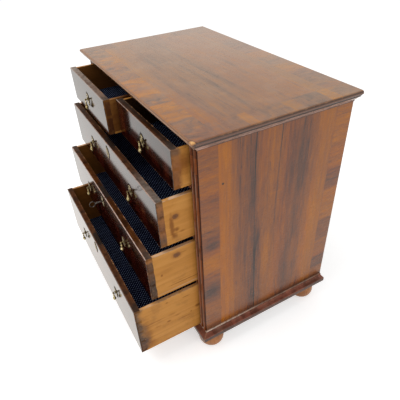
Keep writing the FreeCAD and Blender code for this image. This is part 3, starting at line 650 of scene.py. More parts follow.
handle = {
    "plateHalf": (0.0185, 0.025), "plateThick": 0.0016, "plateBevel": 0.0003,
    "holeHalf": (0.0024, 0.0040), "holeShares": (0.46, 0.44),
    "loopReach": 0.011, "loopHalf": 0.0033, "loopWire": 0.001056, "loopBend": 0.0006,
    "loopTail": 0.008, "tailOut": 0.0012,
    # A quarter of the plate's outline, in shares of its half sizes.
    "plateShares": [(0, 1.0), (0.10, 0.84), (0.22, 0.70), (0.36, 0.72), (0.52, 0.70), (0.62, 0.56),
        (0.60, 0.38), (0.68, 0.24), (0.84, 0.10)],
    # Radius, and how far out from the plate.
    "boss": [(0.0064, 0.0), (0.0064, 0.0006), (0.0057, 0.0021), (0.0040, 0.0034), (0.0016, 0.0039)],
}
lockPlate = {
    "half": (0.016, 0.026), "keyHole": 0.0031, "slotHalf": 0.0016, "slotDrop": 0.011,
    "holeHalf": (0.0024, 0.0036), "holeShares": (0.62, -0.66),
}
swings = {}  # where each drop hangs
for joint in frame["joints"]:
    if joint["name"].endswith("_swing"):
        swings[joint["name"].removesuffix("_swing")] = joint["pos_m"]
frontPlaces = {}
for name in drawerNames:
    # y of the front face, heights of the handles and of the keyhole, x of the handles. The top of
    # the lock plate is the highest of the brasses.
    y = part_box(name + "_front")[0].y
    drops = [place for drop, place in swings.items() if drop.startswith(name)]
    locked = name + "_lock_case" in nodes
    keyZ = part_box(name + "_brasses")[1].z - lockPlate["half"][1] if locked else None
    frontPlaces[name] = (y, drops[0][2], keyZ, [place[0] for place in drops])


# Walnut on the drawer fronts: a glossy skin on the face, worn edges and a bare board behind.

frontVeneer = {
    "skin": 0.0018, "border": 0.020, "leaf": 0.204, "arris": 0.0031,
    # Grey on the top edge, by share from the left end: painted sheen, with dust.
    "sheenAndDust": {
        "lower": [(0.0, 0.05), (1.0, 0.05)],
        "middle": [(0.0, 0.22), (0.2, 0.0), (0.88, 0.0), (1.0, 0.22)],
        "upper": [(0.0, 0.18), (0.4, 0.0), (0.76, 0.05), (0.88, 0.45), (1.0, 0.55)],
        "small_left": [(0.0, 0.95), (0.5, 0.60), (1.0, 0.30)],
        "small_right": [(0.0, 0.10), (0.6, 0.0), (0.85, 0.05), (1.0, 0.15)],
    },
    # How dark the rest of the top edge is.
    "darkened": {"lower": 0.1, "middle": 0.3, "upper": 0.45, "small_left": 0.1, "small_right": 0.75},
    # How bright the painted highlight along the front arris is, on the veneer's edge.
    "arrisHighlight": {
        "lower": 0.25, "middle": 0.95, "upper": 0.55, "small_left": 0.35, "small_right": 0.35,
    },
}


def frontWalnut(name):
    node = name + "_front"
    material, place = newFinish("walnutFront_" + name, IOR=1.45, Specular_IOR_Level=0.0,
        Coat_Roughness=0.10)
    low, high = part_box(node)
    number = drawerNames.index(name)
    x, y, z = split(place)
    toEnds = smaller(x - low.x, high.x - x)
    toRims = smaller(z - low.z, high.z - z)
    toEdge = smaller(toEnds, toRims)
    inBorder = toEdge < frontVeneer["border"]
    skin = y - low.y < frontVeneer["skin"]
    atEnd = inBorder * (toEnds < toRims)
    upright = skin * (1.0 - atEnd)
    # Leaves of one flitch, opened like a book, so that each mirrors the one beside it.
    folded = maths("PINGPONG", x - (low.x + high.x) / 2, frontVeneer["leaf"])
    leaves = joined(folded, y, z)
    grainWay = blend(upright, (0.06, 1.0, 1.0, 1.0), (1.0, 1.0, 0.10, 1.0))
    grain = use(woodGrain, blend(skin, place, leaves), grainWay, 4.0 + number)
    drift = leaves * (1.0, 1.0, 0.55) + (number * 0.37, 0.0, 0.0)
    curl = noise(drift, 8.5, 5.0, 0.58, swirl=1.5)
    light = addFigure(ease(curl, 0.30, 0.72, 0.12, 0.74), grain, 0.55, 0.4, 0.2)
    pieces = use(crossCut, x, 0.07, number + 0.5)
    rim = pieces["Tone"] * 0.3 + 0.2
    rim = addFigure(rim, grain, 0.4, 0.3, 0.0)
    light = blend(inBorder * 0.8, light, rim)
    seam = thinLine(toEdge - frontVeneer["border"], 0.0014)
    light -= seam * 0.25
    face = ramp(light,
        [(0.0, (12, 3, 3)), (0.30, (28, 6, 4)), (0.65, (58, 17, 8)), (1.0, (98, 42, 16))])

    ground = noise(place, 60.0, 5.0, 0.65)
    board = ramp(grain["Figure"] * 0.6 + ground * 0.5,
        [(0.30, (36, 17, 6)), (0.52, (80, 43, 18)), (0.80, (120, 72, 36))])
    inner = ease(y - (high.y - 0.0006), 0.0, 0.0004)
    board = blend(inner, board, blend(grain["Figure"], (56, 30, 15), (94, 56, 30)))
    soiled = ease(noise(place, 21.0, 4.0, 0.6), 0.48, 0.62)
    board = blend(soiled * 0.65, board, (36, 22, 15))
    through = ease(y - low.y, 0.003, 0.016, 0.5, 1.25)
    darkened = through * frontVeneer["darkened"][name]
    board = blend(darkened, board, (28, 17, 11))
    nearLock = use(spot, place, (0.0, high.y, high.z), (0.085, 0.03, 0.03), 0.8)
    worn = ease(toEnds, 0.060, 0.015)
    dark = larger(nearLock["Mask"] if name in ("lower", "middle", "upper") else 0.0, worn)
    board = blend(dark * 0.55, board, (44, 33, 27))
    fromLeft = (x - low.x) / (high.x - low.x)
    # Painted sheen, with dust, greys the top edge.
    grey = ramp(fromLeft, frontVeneer["sheenAndDust"][name]) * ease(ground, 0.30, 0.62, 0.45, 1.0)
    board = blend(grey, board, (146, 134, 124))
    joint, _, soiledEnd = jointPine(place, name)
    end = blend(soiledEnd, (184, 126, 60), joint)
    board = blend(ease(toEnds, 0.0006, 0.0003, 0.0, 0.94), board, end)
    colour = blend(skin, board, face)
    # A pale line along the front arris, on the veneer's edge: a painted highlight.
    above = z > high.z - 0.0007
    arris = ease(y - low.y, frontVeneer["arris"], frontVeneer["arris"] - 0.0006)
    arris = above * arris * ease(ground, 0.28, 0.5, 0.2, 1.0)
    arris *= frontVeneer["arrisHighlight"][name]
    colour = blend(arris, colour, (208, 184, 172))
    edgeMarks = use(edgeWearAndHighlight, place, low, high, 0.0035)
    chips = edgeMarks["Edging"] * ease(noise(place, 34.0, 3.0), 0.50, 0.62, 0.12, 0.8)
    colour = blend(chips, colour, (172, 124, 84))
    rough = blend(skin, 0.5, ease(ground, 0.3, 0.7, 0.16, 0.24))
    # Old polish and dirt lie dull round the brasses and in their piercings.
    gloss = skin * 0.98
    handleZ, keyZ, handleXs = frontPlaces[name][1:]
    spread = [(x, handleZ, handle["plateHalf"]) for x in handleXs]
    spread += [(0.0, keyZ, lockPlate["half"])] if keyZ else []
    for across, rise, half in spread:
        dirt = use(spot, place, (across, low.y, rise), (half[0], 0.01, half[1]), 0.5)
        gloss *= ease(dirt["Out"], 1.22, 0.90, 1.0, 0.12)
    height = grain["Fibre"] * ease(skin, 0.0, 1.0, 0.8, 0.0) - chips
    return finished(material, colour, rough, height, 0.0003, 0.4,
        Coat_Weight=gloss)


# Cross-grain walnut on mouldings and beads.

mouldingVeneer = {"pitch": 0.085, "beadPitch": 0.062}


def beadWalnut():
    # Beads stand upright on the stiles and the divider, and lie along the rails.
    material, place = newFinish("walnutBeads", IOR=1.5, Specular_IOR_Level=0.10)
    x, y, z = split(place)
    fromMiddle = abs(x)
    upright = larger(fromMiddle > chest["openingHalf"], fromMiddle < 0.0069)
    along = blend(upright, x, z)
    grainWay = blend(upright, (1.0, 1.0, 0.10, 1.0), (0.10, 1.0, 1.0, 1.0))
    pieces = use(crossCut, along, mouldingVeneer["beadPitch"], 2.6)
    grain = use(woodGrain, place, grainWay, pieces["Tone"])
    light = addFigure(pieces["Tone"] * 0.14 + 0.42, grain, 0.4, 0.3, 0.0)
    rise = chest["frontY"] - y
    # Darker in the hollows near the case's face: painted shade.
    hollowShade = ease(rise, 0.0042, 0.0016)
    light -= hollowShade * 0.35
    light -= pieces["Joint"] * 0.08
    colour = ramp(light,
        [(0.0, (28, 9, 3)), (0.35, (74, 30, 5)), (0.7, (148, 74, 10)), (1.0, (188, 108, 30))])
    worn = ease(noise(place, 48.0, 4.0, 0.65), 0.62, 0.72)
    worn *= ease(rise, 0.0045, 0.0062)
    colour = blend(worn * 0.4, colour, (160, 108, 70))
    # A pale line along the crest of each bead: a painted highlight.
    crestHighlight = ease(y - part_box("front_beads")[0].y, 0.0009, 0.0003)
    crestHighlight *= ease(noise(place, 16.0, 3.0), 0.35, 0.55, 0.15, 0.6)
    colour = blend(crestHighlight, colour, (180, 140, 118))
    rough = ease(noise(place, 60.0, 4.0), 0.3, 0.7, 0.09, 0.18)
    return finished(material, colour, rough, grain["Fibre"] - pieces["Joint"], 0.0001, 0.2)


def mouldingWalnut(node, steps, contrast, edgeHighlight, frontShade):
    # Steps give the tone of each member from the foot of the moulding to its head, with painted light
    # and shade in them.
    material, place = newFinish("walnut_" + node, IOR=1.5, Specular_IOR_Level=0.3)
    low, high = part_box(node)
    x, y, z = split(place)
    outX = abs(x) - chest["halfWidth"]
    outY = chest["frontY"] - y
    along = blend(outX > outY, x, y)
    mitre = thinLine(outX - outY, 0.0014)
    mitre *= outY > 0.0
    pieces = use(crossCut, along, mouldingVeneer["pitch"], len(node) * 1.3)
    grain = use(woodGrain, place, (0.7, 0.7, 0.16), pieces["Tone"])
    light = addFigure(pieces["Tone"] * 0.20 + 0.40, grain, 0.45, 0.25, 0.0)
    light -= pieces["Joint"] * 0.16
    up = (z - low.z) / (high.z - low.z)
    member = ramp(up, steps)
    shade = ease(light, 0.1, 0.9, 1.0 - contrast, 1.0 + contrast)
    # The run across the front is darker: painted shade.
    shade *= ease(outY - outX, 0.0, 0.001, 1.0, frontShade)
    colour = shaded(member, shade)
    wear = noise(place, 46.0, 4.0, 0.65)
    # Polish has darkened it in streaks along its length.
    streak = noise(place * (0.10, 0.10, 1.0), 230.0, 3.0, 0.6)
    streak = ease(streak, 0.32, 0.68, 0.62, 1.42)
    colour = shaded(colour, streak)
    colour = blend(ease(wear, 0.60, 0.70, 0.0, 0.22), colour, (176, 128, 90))
    if edgeHighlight:
        # The thin upper edge has a pale painted highlight, broken up and stronger towards the front.
        edge = ease(up, 0.925, 0.95) * ease(wear, 0.34, 0.56, 0.35, 1.0)
        edge *= ease(y, 0.12, -0.08, edgeHighlight * 0.25, edgeHighlight)
        colour = blend(edge, colour, (226, 202, 184))
    colour = blend(mitre * 0.7, colour, (190, 146, 104))
    dust = use(settledDust, place, 0.3)
    colour = blend(dust["Dust"], colour, (150, 126, 108))
    rough = ease(dust["Smear"], 0.3, 0.7, 0.14, 0.26)
    return finished(material, colour, rough, grain["Fibre"] - pieces["Joint"], 0.0001, 0.3)


# The tones of the members hold painted light and shade. On the top moulding a dark line at the foot,
# where it meets the side, and a dark band under the top board are painted shadow, and the ovolo between
# is painted paler for the light on it. On the base moulding the darker and paler bands follow painted
# shade and highlights.
topMembers = [(0.0, (64, 42, 34)), (0.05, (90, 62, 52)), (0.09, (156, 124, 110)),
    (0.76, (174, 142, 128)), (0.84, (84, 58, 46)), (1.0, (56, 36, 28))]
baseMembers = [(0.0, (104, 74, 62)), (0.20, (96, 64, 50)), (0.48, (60, 36, 28)), (0.62, (86, 52, 42)),
    (0.76, (132, 80, 64)), (0.84, (114, 68, 52)), (0.90, (84, 44, 30)), (0.94, (128, 78, 50)),
    (1.0, (92, 56, 38))]


# Pine, with growth lines along the board, and knots and stains where a board shows them.

honeyTones = [(140, 86, 32), (191, 131, 60), (216, 158, 86)]
frameTones = [(70, 44, 26), (120, 80, 48), (150, 108, 70)]
roughTones = [(70, 50, 36), (116, 86, 58), (146, 114, 82)]


def pineFinish(name, grainWay, tones, seed, knots=(), stains=(), at=None):
    material, place = newFinish(name, IOR=1.45, Specular_IOR_Level=0.2)
    marks = []
    bent = place
    for back, down, halfBack, halfDown in knots:
        centre, size = at(back, down, halfBack, halfDown)
        mark = use(spot, place, centre, size, 0.8)
        marks.append(mark)
        swell = ease(mark["Out"], 3.2, 0.8) * 0.5
        away = vector("SUBTRACT", place, centre)
        bent = vector("SUBTRACT", bent, vector("MULTIPLY", away, joined(0.0, 0.0, swell)))
    grain = use(woodGrain, bent, grainWay, seed)
    drawn = vector("MULTIPLY", bent, grainWay)
    sway = noise(drawn + (seed, 0.0, 0.0), 6.0, 2.0, 0.5)
    ring = vector("LENGTH", drawn + (0.31 * seed, 0.17, 0.23))
    count = (sway * 0.16 + ring) * 70.0
    saw = maths("FRACT", count)
    late = ease(saw, 0.25, 0.9) * ease(saw, 1.0, 0.9)
    late *= ease(grain["Cloud"], 0.35, 0.65, 0.15, 1.0)
    light = 0.56 - late * 0.17
    light = addFigure(light, grain, 0.34, 0.26, 0.55)
    light = addPatches(light, place, stains, at) if stains else light
    colour = ramp(light, [(0.05, tones[0]), (0.5, tones[1]), (0.95, tones[2])])
    for mark in marks:
        halo = ease(mark["Out"], 1.9, 0.9)
        colour = blend(halo * 0.40, colour, (150, 92, 44))
        colour = blend(ease(mark["Out"], 1.1, 0.7) * 0.8, colour, (104, 66, 44))
        core = ease(mark["Out"], 0.5, 0.1)
        colour = blend(core * 0.5, colour, (84, 58, 48))
    return material, place, grain, late, colour


def finishPine(material, place, grain, late, colour, dull):
    grime = ease(noise(place, 18.0, 5.0, 0.65), 0.52, 0.76)
    colour = blend(grime * 0.30, colour, (110, 70, 40))
    rough = ease(grain["Figure"], 0.3, 0.7, dull, dull + 0.15)
    height = grain["Fibre"] - late * 0.4
    return finished(material, colour, rough, height, 0.0003, 0.45)


def plainPine(name, grainWay, tones, dull, seed):
    return finishPine(*pineFinish(name, grainWay, tones, seed), dull)


# The boards at the back, rough from the saw and nailed at head and foot: the heights of the rows of
# nails, and how far a nail lies from the middle of its board.
backPlanks = {"count": 4, "nailRows": (0.8732, 0.0935), "nailOut": 0.082, "nailHead": 0.0042}


def backBoardPine():
    material, place, grain, late, colour = pineFinish("backPine", (1.0, 1.0, 0.05), roughTones, 3.1)
    x, _, z = split(place)
    low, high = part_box("back_boards")
    width = (high.x - low.x) / backPlanks["count"]
    count = (x - low.x) / width
    shade = ease(speck("W", maths("FLOOR", count), "1D"), 0.0, 1.0, 0.72, 1.16)
    colour = shaded(colour, shade)
    wet = ease(noise(place * (1.0, 1.0, 0.16), 15.0, 5.0, 0.65), 0.50, 0.68)
    wet *= ease(z, 0.62, 0.10, 0.15, 0.75)
    colour = blend(wet, colour, (66, 50, 38))
    middle = abs(maths("FRACT", count) - 0.5)
    middle *= width
    joint = ease(middle, width / 2 - 0.0022, width / 2 - 0.0008)
    colour = blend(joint * 0.9, colour, (26, 19, 14))
    first, second = backPlanks["nailRows"]
    rise = smaller(abs(z - first), abs(z - second))
    side = middle - backPlanks["nailOut"]
    away = vector("LENGTH", joined(side, rise, 0.0))
    halo = ease(away, 0.020, 0.004) * ease(grain["Figure"], 0.3, 0.6, 0.2, 0.8)
    colour = blend(halo, colour, (74, 44, 28))
    head = ease(away, backPlanks["nailHead"], backPlanks["nailHead"] - 0.001)
    colour = blend(head, colour, (44, 32, 26))
    return finishPine(material, place, grain, late, colour, dull=0.6)


def drawerSidePine(name):
    low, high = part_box(name + "_sides")
    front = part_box(name + "_front")[0].y
    facts = drawerPine[name]

    def at(back, down, halfBack, halfDown):
        outer = high.x if back > 0 else low.x
        return (outer, front + abs(back), high.z - down), (0.008, halfBack, halfDown)

    material, place, grain, late, colour = pineFinish("honeyPine_" + name, (1.0, 0.05, 1.0),
        honeyTones, 1.0 + drawerNames.index(name), facts["knots"], facts["stains"], at)
    x, _, z = split(place)
    joint, reach, soiled = jointPine(place, name)
    colour = blend(soiled, colour, joint)
    if "shadeAndAge" in facts:
        # This side is darker in the gap beside it: painted shade.
        share = ease(reach, 0.0, 0.085, *facts["shadeAndAge"])
        share *= x > (low.x + high.x) / 2
        colour = blend(share, colour, (54, 17, 2))
    # The inner faces are darker and browner: painted shade, and unwaxed wood brown with age.
    toEnds = smaller(x - low.x, high.x - x)
    inner = ease(toEnds, 0.0095, 0.0105)
    shadeAndAge = blend(grain["Figure"], (100, 56, 20), (162, 100, 42))
    colour = blend(inner * 0.9, colour, shadeAndAge)
    # The left inner face is darker still: painted shade.
    if "insideShade" in facts:
        insideShade = inner * (x < (low.x + high.x) / 2)
        colour = blend(insideShade * facts["insideShade"], colour, (22, 14, 9))
    edgeMarks = use(edgeWearAndHighlight, place, low, high, 0.0022)
    colour = blend(edgeMarks["Edging"] * 0.45, colour, (84, 52, 30))
    # A pale line along the top edge: a painted highlight.
    if "rim" in facts:
        rim = ease(high.z - z, 0.0018, 0.0008) * facts["rim"]
        rim *= ease(noise(place, 22.0, 3.0), 0.36, 0.52, 0.1, 1.0)
        colour = blend(rim, colour, (218, 186, 158))
    if "footRim" in facts:
        rim = ease(z - low.z, 0.0034, 0.0022, 0.0, facts["footRim"])
        rim *= ease(reach, 0.0, 0.10, 0.35, 1.0)
        colour = blend(rim, colour, (206, 172, 140))
    return finishPine(material, place, grain, late, colour, dull=0.40)


# Turned fruitwood of the bun feet.

def footWood():
    material, place = newFinish("turnedFruitwood", IOR=1.5)
    grain = use(woodGrain, place, (1.0, 1.0, 0.10), 7.0)
    z = split(place)[2]
    light = 0.5 + (grain["Figure"] - 0.5) * 0.9
    light += (grain["Cloud"] - 0.5) * 0.6
    colour = ramp(light, [(0.05, (100, 58, 26)), (0.5, (170, 106, 52)), (0.95, (206, 144, 82))])
    scuff = ease(z, 0.02, 0.0) * ease(noise(place, 60.0, 4.0), 0.4, 0.6)
    colour = blend(scuff, colour, (92, 70, 54))
    # Darker at the neck and collar, under the case: painted shade.
    neckShade = ease(z, 0.058, 0.068)
    colour = blend(neckShade * 0.5, colour, (70, 42, 26))
    dust = use(settledDust, place, 0.4)
    colour = blend(dust["Dust"], colour, (150, 130, 108))
    rough = ease(dust["Smear"], 0.3, 0.7, 0.25, 0.45)
    return finished(material, colour, rough, grain["Fibre"] + scuff, 0.0003, 0.5)


# Dark blue lining paper with rows of small pale spots, each row set half a step over.

liningPaper = {"step": 0.013, "row": 0.0065, "dot": 0.0016}


def spottedPaper():
    material, place = newFinish("spottedPaper", Specular_IOR_Level=0.06)
    step, row = liningPaper["step"], liningPaper["row"]
    x, y, _ = split(place)
    odd = maths("FLOORED_MODULO", maths("FLOOR", y / row), 2.0) * 0.5
    u = maths("FRACT", x / step + odd) - 0.5
    v = maths("FRACT", y / row) - 0.5
    out = vector("LENGTH", joined(u * step, v * row, 0.0))
    dot = ease(out, liningPaper["dot"] * 1.15, liningPaper["dot"] * 0.75)
    fade = noise(place, 40.0, 4.0, 0.6)
    dot *= ease(fade, 0.25, 0.5, 0.45, 1.0)
    ground = blend(ease(fade, 0.3, 0.75), (8, 9, 30), (16, 19, 46))
    crease = ease(noise(place * (1.0, 4.0, 1.0), 9.0, 5.0, 0.7), 0.64, 0.74)
    ground = blend(crease * 0.4, ground, (78, 72, 76))
    colour = blend(dot, ground, (142, 162, 190))
    return finished(material, colour, 0.85, noise(place, 260.0, 4.0, 0.6), 0.0004, 0.4)


# Metals.

def agedBrass(name, soiled):
    # Bright where it is rubbed, brown where it is not, and darker still on the sides of the plates:
    # painted shade.
    material, place = newFinish(name, Metallic=1.0)
    wear = noise(place, 170.0, 5.0, 0.65)
    spots = ease(noise(place, 380.0, 3.0, 0.6), 0.54, 0.66)
    colour = ramp(wear - 0.05 * soiled,
        [(0.34, (70, 58, 36)), (0.46, (144, 126, 82)), (0.56, (206, 190, 142)), (0.7, (236, 226, 188))])
    colour = blend(spots * 0.65, colour, (52, 42, 26))
    # The sides of the plates are painted dark: painted shade.
    outward = facing(place)[1]
    sideShade = ease(abs(outward), 0.86, 0.45, 0.0, soiled)
    colour = blend(sideShade, colour, (34, 26, 17))
    rough = ease(wear, 0.35, 0.7, 0.42, 0.22)
    return finished(material, colour, rough, wear, 0.0003, 0.6)


def oldIron(name, bare, bright, rusty, rustFrom):
    material, place = newFinish(name, Metallic=1.0, Specular_IOR_Level=0.1)
    wear = noise(place, 120.0, 5.0, 0.65)
    rust = ease(noise(place, 45.0, 5.0, 0.7), rustFrom, rustFrom + 0.17)
    colour = blend(ease(wear, 0.4, 0.75), bare, bright)
    colour = blend(rust * 0.85, colour, rusty)
    metal = ease(rust, 0.0, 1.0, 1.0, 0.15)
    rough = ease(wear, 0.3, 0.7, 0.55, 0.32)
    return finished(material, colour, rough, wear, 0.0002, 0.6, Metallic=metal)


def dress(node, material):
    mesh = nodes[node].data
    mesh.materials.clear()
    mesh.materials.append(material)


plateBrass = agedBrass("plateBrass", soiled=0.9)
dropBrass = agedBrass("dropBrass", soiled=0.0)
iron = oldIron("darkIron", (52, 48, 45), (128, 122, 116), (78, 48, 32), rustFrom=0.52)
lockIron = oldIron("rustedIron", (22, 16, 12), (44, 35, 28), (34, 20, 12), rustFrom=0.30)
paper = spottedPaper()
dress("top_board", topWalnut())
for node in ("side_left", "side_right"):
    dress(node, sideWalnut(node))
dress("top_moulding", mouldingWalnut("top_moulding", topMembers, contrast=0.28, edgeHighlight=0.0,
    frontShade=0.45))
dress("base_moulding", mouldingWalnut("base_moulding", baseMembers, contrast=0.6, edgeHighlight=0.85,
    frontShade=0.8))
dress("front_beads", beadWalnut())
framePine = plainPine("framePine", (0.05, 1.0, 1.0), frameTones, dull=0.5, seed=2.2)
boardPine = plainPine("boardPine", (0.05, 1.0, 1.0), roughTones, dull=0.6, seed=4.7)
guidePine = plainPine("guidePine", (1.0, 0.05, 1.0), roughTones, dull=0.6, seed=5.3)
for node in ("carcase_top", "front_frame", "centre_divider"):
    dress(node, framePine)
for node in ("bottom_board", "base_frame", "dust_boards"):
    dress(node, boardPine)
dress("back_boards", backBoardPine())
dress("guides_and_stops", guidePine)
bottomPine = plainPine("drawerBottomPine", (1.0, 0.05, 1.0), honeyTones, dull=0.45, seed=6.1)
drawerBackPine = plainPine("drawerBackPine", (0.05, 1.0, 1.0), frameTones, dull=0.45, seed=6.9)
for name in drawerNames:
    dress(name + "_front", frontWalnut(name))
    dress(name + "_sides", drawerSidePine(name))
    dress(name + "_back", drawerBackPine)
    dress(name + "_bottom", bottomPine)
    dress(name + "_lining", paper)
for name in ("lower", "middle", "upper"):
    dress(name + "_lock_case", lockIron)
    dress(name + "_lock_bolt", lockIron)
print("finishes laid on the frame")


# Mesh tools for the turned, cast and bent pieces.

def lathe(shape, profile, steps, place):
    # Rings of the profile (radius, height) round the Z axis, closed at both ends, set in place.
    rings = []
    for radius, height in profile:
        ring = []
        for number in range(steps):
            turn = 2 * math.pi * number / steps
            corner = Vector((radius * math.cos(turn), radius * math.sin(turn), height))
            ring.append(shape.verts.new(place @ corner))
        rings.append(ring)
    for below, above in zip(rings, rings[1:]):
        for number in range(steps):
            after = (number + 1) % steps
            shape.faces.new((below[number], below[after], above[after], above[number]))
    shape.faces.new(list(reversed(rings[0])))
    shape.faces.new(rings[-1])


def addRing(shape, measures, place, steps, sides):
    # A ring that stands across X, round in its section.
    outer, hole, half = measures
    middle, thick = (outer + hole) / 2, (outer - hole) / 2
    rings = []
    for number in range(steps):
        turn = 2 * math.pi * number / steps
        out = Vector((0.0, math.cos(turn), math.sin(turn)))
        ring = []
        for side in range(sides):
            lean = 2 * math.pi * side / sides
            corner = out * (middle + thick * math.cos(lean)) + Vector((half * math.sin(lean), 0, 0))
            ring.append(shape.verts.new(corner + Vector(place)))
        rings.append(ring)
    for a, b in zip(rings, rings[1:] + rings[:1]):
        for side in range(sides):
            after = (side + 1) % sides
            shape.faces.new((a[side], b[side], b[after], a[after]))


def rounded(points, times):
    # Cuts the corners of an open profile again and again, and keeps its two ends.
    for _ in range(times):
        cut = [points[0]]
        for a, b in zip(points, points[1:]):
            cut.append(tuple(p * 0.75 + q * 0.25 for p, q in zip(a, b)))
            cut.append(tuple(p * 0.25 + q * 0.75 for p, q in zip(a, b)))
        cut.append(points[-1])
        points = cut
    return points


def addCurve(shape, lines, place, closed=True, smooth=True, flat=0.0, bevel=0.0, sides=3):
    # Turns curve lines into mesh. Flat lines are filled and extruded, and open ones become wire.
    curve = bpy.data.curves.new("line", "CURVE")
    curve.dimensions = "2D" if flat else "3D"
    curve.fill_mode = "BOTH" if flat else "FULL"
    curve.extrude = flat
    curve.bevel_depth = bevel
    curve.bevel_resolution = sides
    curve.resolution_u = 6
    curve.use_fill_caps = not flat
    for points in lines:
        line = curve.splines.new("NURBS" if smooth else "POLY")
        line.points.add(len(points) - 1)
        for point, corner in zip(line.points, points):
            point.co = (*corner, 1.0) if len(corner) == 3 else (*corner, 0.0, 1.0)
        line.use_cyclic_u = closed
        if smooth:
            line.order_u = 3
            line.use_endpoint_u = not closed
    holder = bpy.data.objects.new("line", curve)
    bpy.context.scene.collection.objects.link(holder)
    bpy.context.view_layer.update()
    mesh = bpy.data.meshes.new_from_object(holder.evaluated_get(bpy.context.evaluated_depsgraph_get()))
    bpy.data.objects.remove(holder)
    mesh.transform(place)
    shape.from_mesh(mesh)
    bpy.data.meshes.remove(mesh)


def makePiece(name, shape, material, body, slotName, *stoodFor, sharp=40):
    bmesh.ops.remove_doubles(shape, verts=shape.verts, dist=0.00001)
    bmesh.ops.recalc_face_normals(shape, faces=shape.faces)
    mesh = bpy.data.meshes.new(name)
    shape.to_mesh(mesh)
    shape.free()
    mesh.shade_smooth()
    mesh.set_sharp_from_angle(angle=math.radians(sharp))
    mesh.materials.append(material)
    piece = bpy.data.objects.new(name, mesh)
    bpy.context.scene.collection.objects.link(piece)
    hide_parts(*stoodFor)
    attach(piece, body)


# Bun feet, turned in one with their necks and collars.

bunFoot = {
    # Half the width of the solid, and radius and height from the floor up.
    "half": 0.048,
    "profile": [(0.0245, 0.0), (0.033, 0.0006), (0.0425, 0.0085), (0.0478, 0.022), (0.0479, 0.036),
        (0.0455, 0.048), (0.0385, 0.0575), (0.0305, 0.0620), (0.0250, 0.0634), (0.0238, 0.0650),
        (0.0245, 0.0672)],
    "collar": [(0.0294, 0.0680), (0.0300, 0.0688), (0.0300, 0.0760)],
    "dowel": [(0.0118, 0.0760), (0.0118, 0.0985)],
}


def makeFeet():
    shape = bmesh.new()
    profile = rounded(bunFoot["profile"], 2) + bunFoot["collar"] + bunFoot["dowel"]
    low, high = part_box("bun_feet")
    half = bunFoot["half"]
    for y in (low.y + half, high.y - half):
        for x in (high.x - half, low.x + half):
            lathe(shape, profile, 48, Matrix.Translation((x, y, 0.0)))
    makePiece("bunFeet", shape, footWood(), "case", "turned_wood", "bun_feet")


makeFeet()
print("feet turned")


# Brass: pierced plates, domed bosses, wire loops and pear drops.

def plateLine(half):
    # A plate's outline from the shares of its quarter, less what the bevel adds.
    shares = handle["plateShares"]
    across = [(1.0, 0.0)] + [(u, -v) for u, v in reversed(shares)]
    side = shares + across[:-1]
    halfX, halfZ = (part - handle["plateBevel"] for part in half)
    return [(u * halfX, v * halfZ) for u, v in side + [(-u, -v) for u, v in side]]


def piercing(x, z, halfX, halfZ):
    # A pear-shaped hole, wider at the end near the middle of the plate.
    lean = 0.35 if z > 0 else -0.35
    steps = 10
    around = []
    for number in range(steps):
        turn = 2 * math.pi * number / steps
        wide = 1.0 - lean * math.sin(turn)
        around.append((x + halfX * math.cos(turn) * wide, z + halfZ * math.sin(turn)))
    return around


def onFront(x, y, z):
    # Flat curve lines are drawn in X and Y: this stands them up against a drawer front.
    return Matrix.Translation((x, y, z)) @ Matrix.Rotation(math.radians(90), 4, "X")


def addPlate(shape, lines, x, y, z, smooth=True):
    thick, bevel = handle["plateThick"], handle["plateBevel"]
    addCurve(shape, lines, onFront(x, y - thick / 2, z), smooth=smooth, flat=thick / 2 - bevel,
        bevel=bevel, sides=2)


def addLoop(shape, x, y, z):
    # The wire goes round the drop's eye, through plate and front, and spreads inside the drawer.
    half, bend = handle["loopHalf"], handle["loopBend"]
    inside = y + chest["drawerFront"] + handle["tailOut"]
    bar = y - handle["loopReach"]
    # Half the width across, and the place in Y. Points close together keep the bends tight.
    arm = [(half + handle["loopTail"], inside), (half * 1.2, inside), (half, inside),
        (half, inside - 0.003), (half, bar + 0.004), (half, bar + bend), (half, bar),
        (half - bend, bar)]
    line = [(x - u, v, z) for u, v in arm] + [(x + u, v, z) for u, v in reversed(arm)]
    addCurve(shape, [line], Matrix.Identity(4), closed=False, bevel=handle["loopWire"])


def keyHoleLine():
    # Round above, with a slot below for the bit.
    hole, half, drop = lockPlate["keyHole"], lockPlate["slotHalf"], lockPlate["slotDrop"]
    start = -math.acos(half / hole)
    steps = 14
    turns = [start + (math.pi - 2 * start) * number / steps for number in range(steps + 1)]
    around = [(hole * math.cos(turn), hole * math.sin(turn)) for turn in turns]
    return around + [(-half, -drop), (half, -drop)]


def makeBrasses(name):
    y, handleZ, keyZ, places = frontPlaces[name]
    shape = bmesh.new()
    halfX, halfZ = handle["plateHalf"]
    shareX, shareZ = handle["holeShares"]
    for x in places:
        holes = [piercing(u * shareX * halfX, v * shareZ * halfZ, *handle["holeHalf"])
            for u in (-1, 1) for v in (-1, 1)]
        addPlate(shape, [plateLine(handle["plateHalf"])] + holes, x, y, handleZ)
        lathe(shape, handle["boss"], 24, onFront(x, y - handle["plateThick"], handleZ))
        addLoop(shape, x, y, handleZ)
    if keyZ:
        holes = [piercing(0.0, share * lockPlate["half"][1], *lockPlate["holeHalf"])
            for share in lockPlate["holeShares"]]
        around = rounded(plateLine(lockPlate["half"]), 1)
        addPlate(shape, [around, keyHoleLine()] + holes, 0.0, y, keyZ, smooth=False)
    makePiece(name + "Brasses", shape, plateBrass, name + "_drawer", "brass", name + "_brasses")


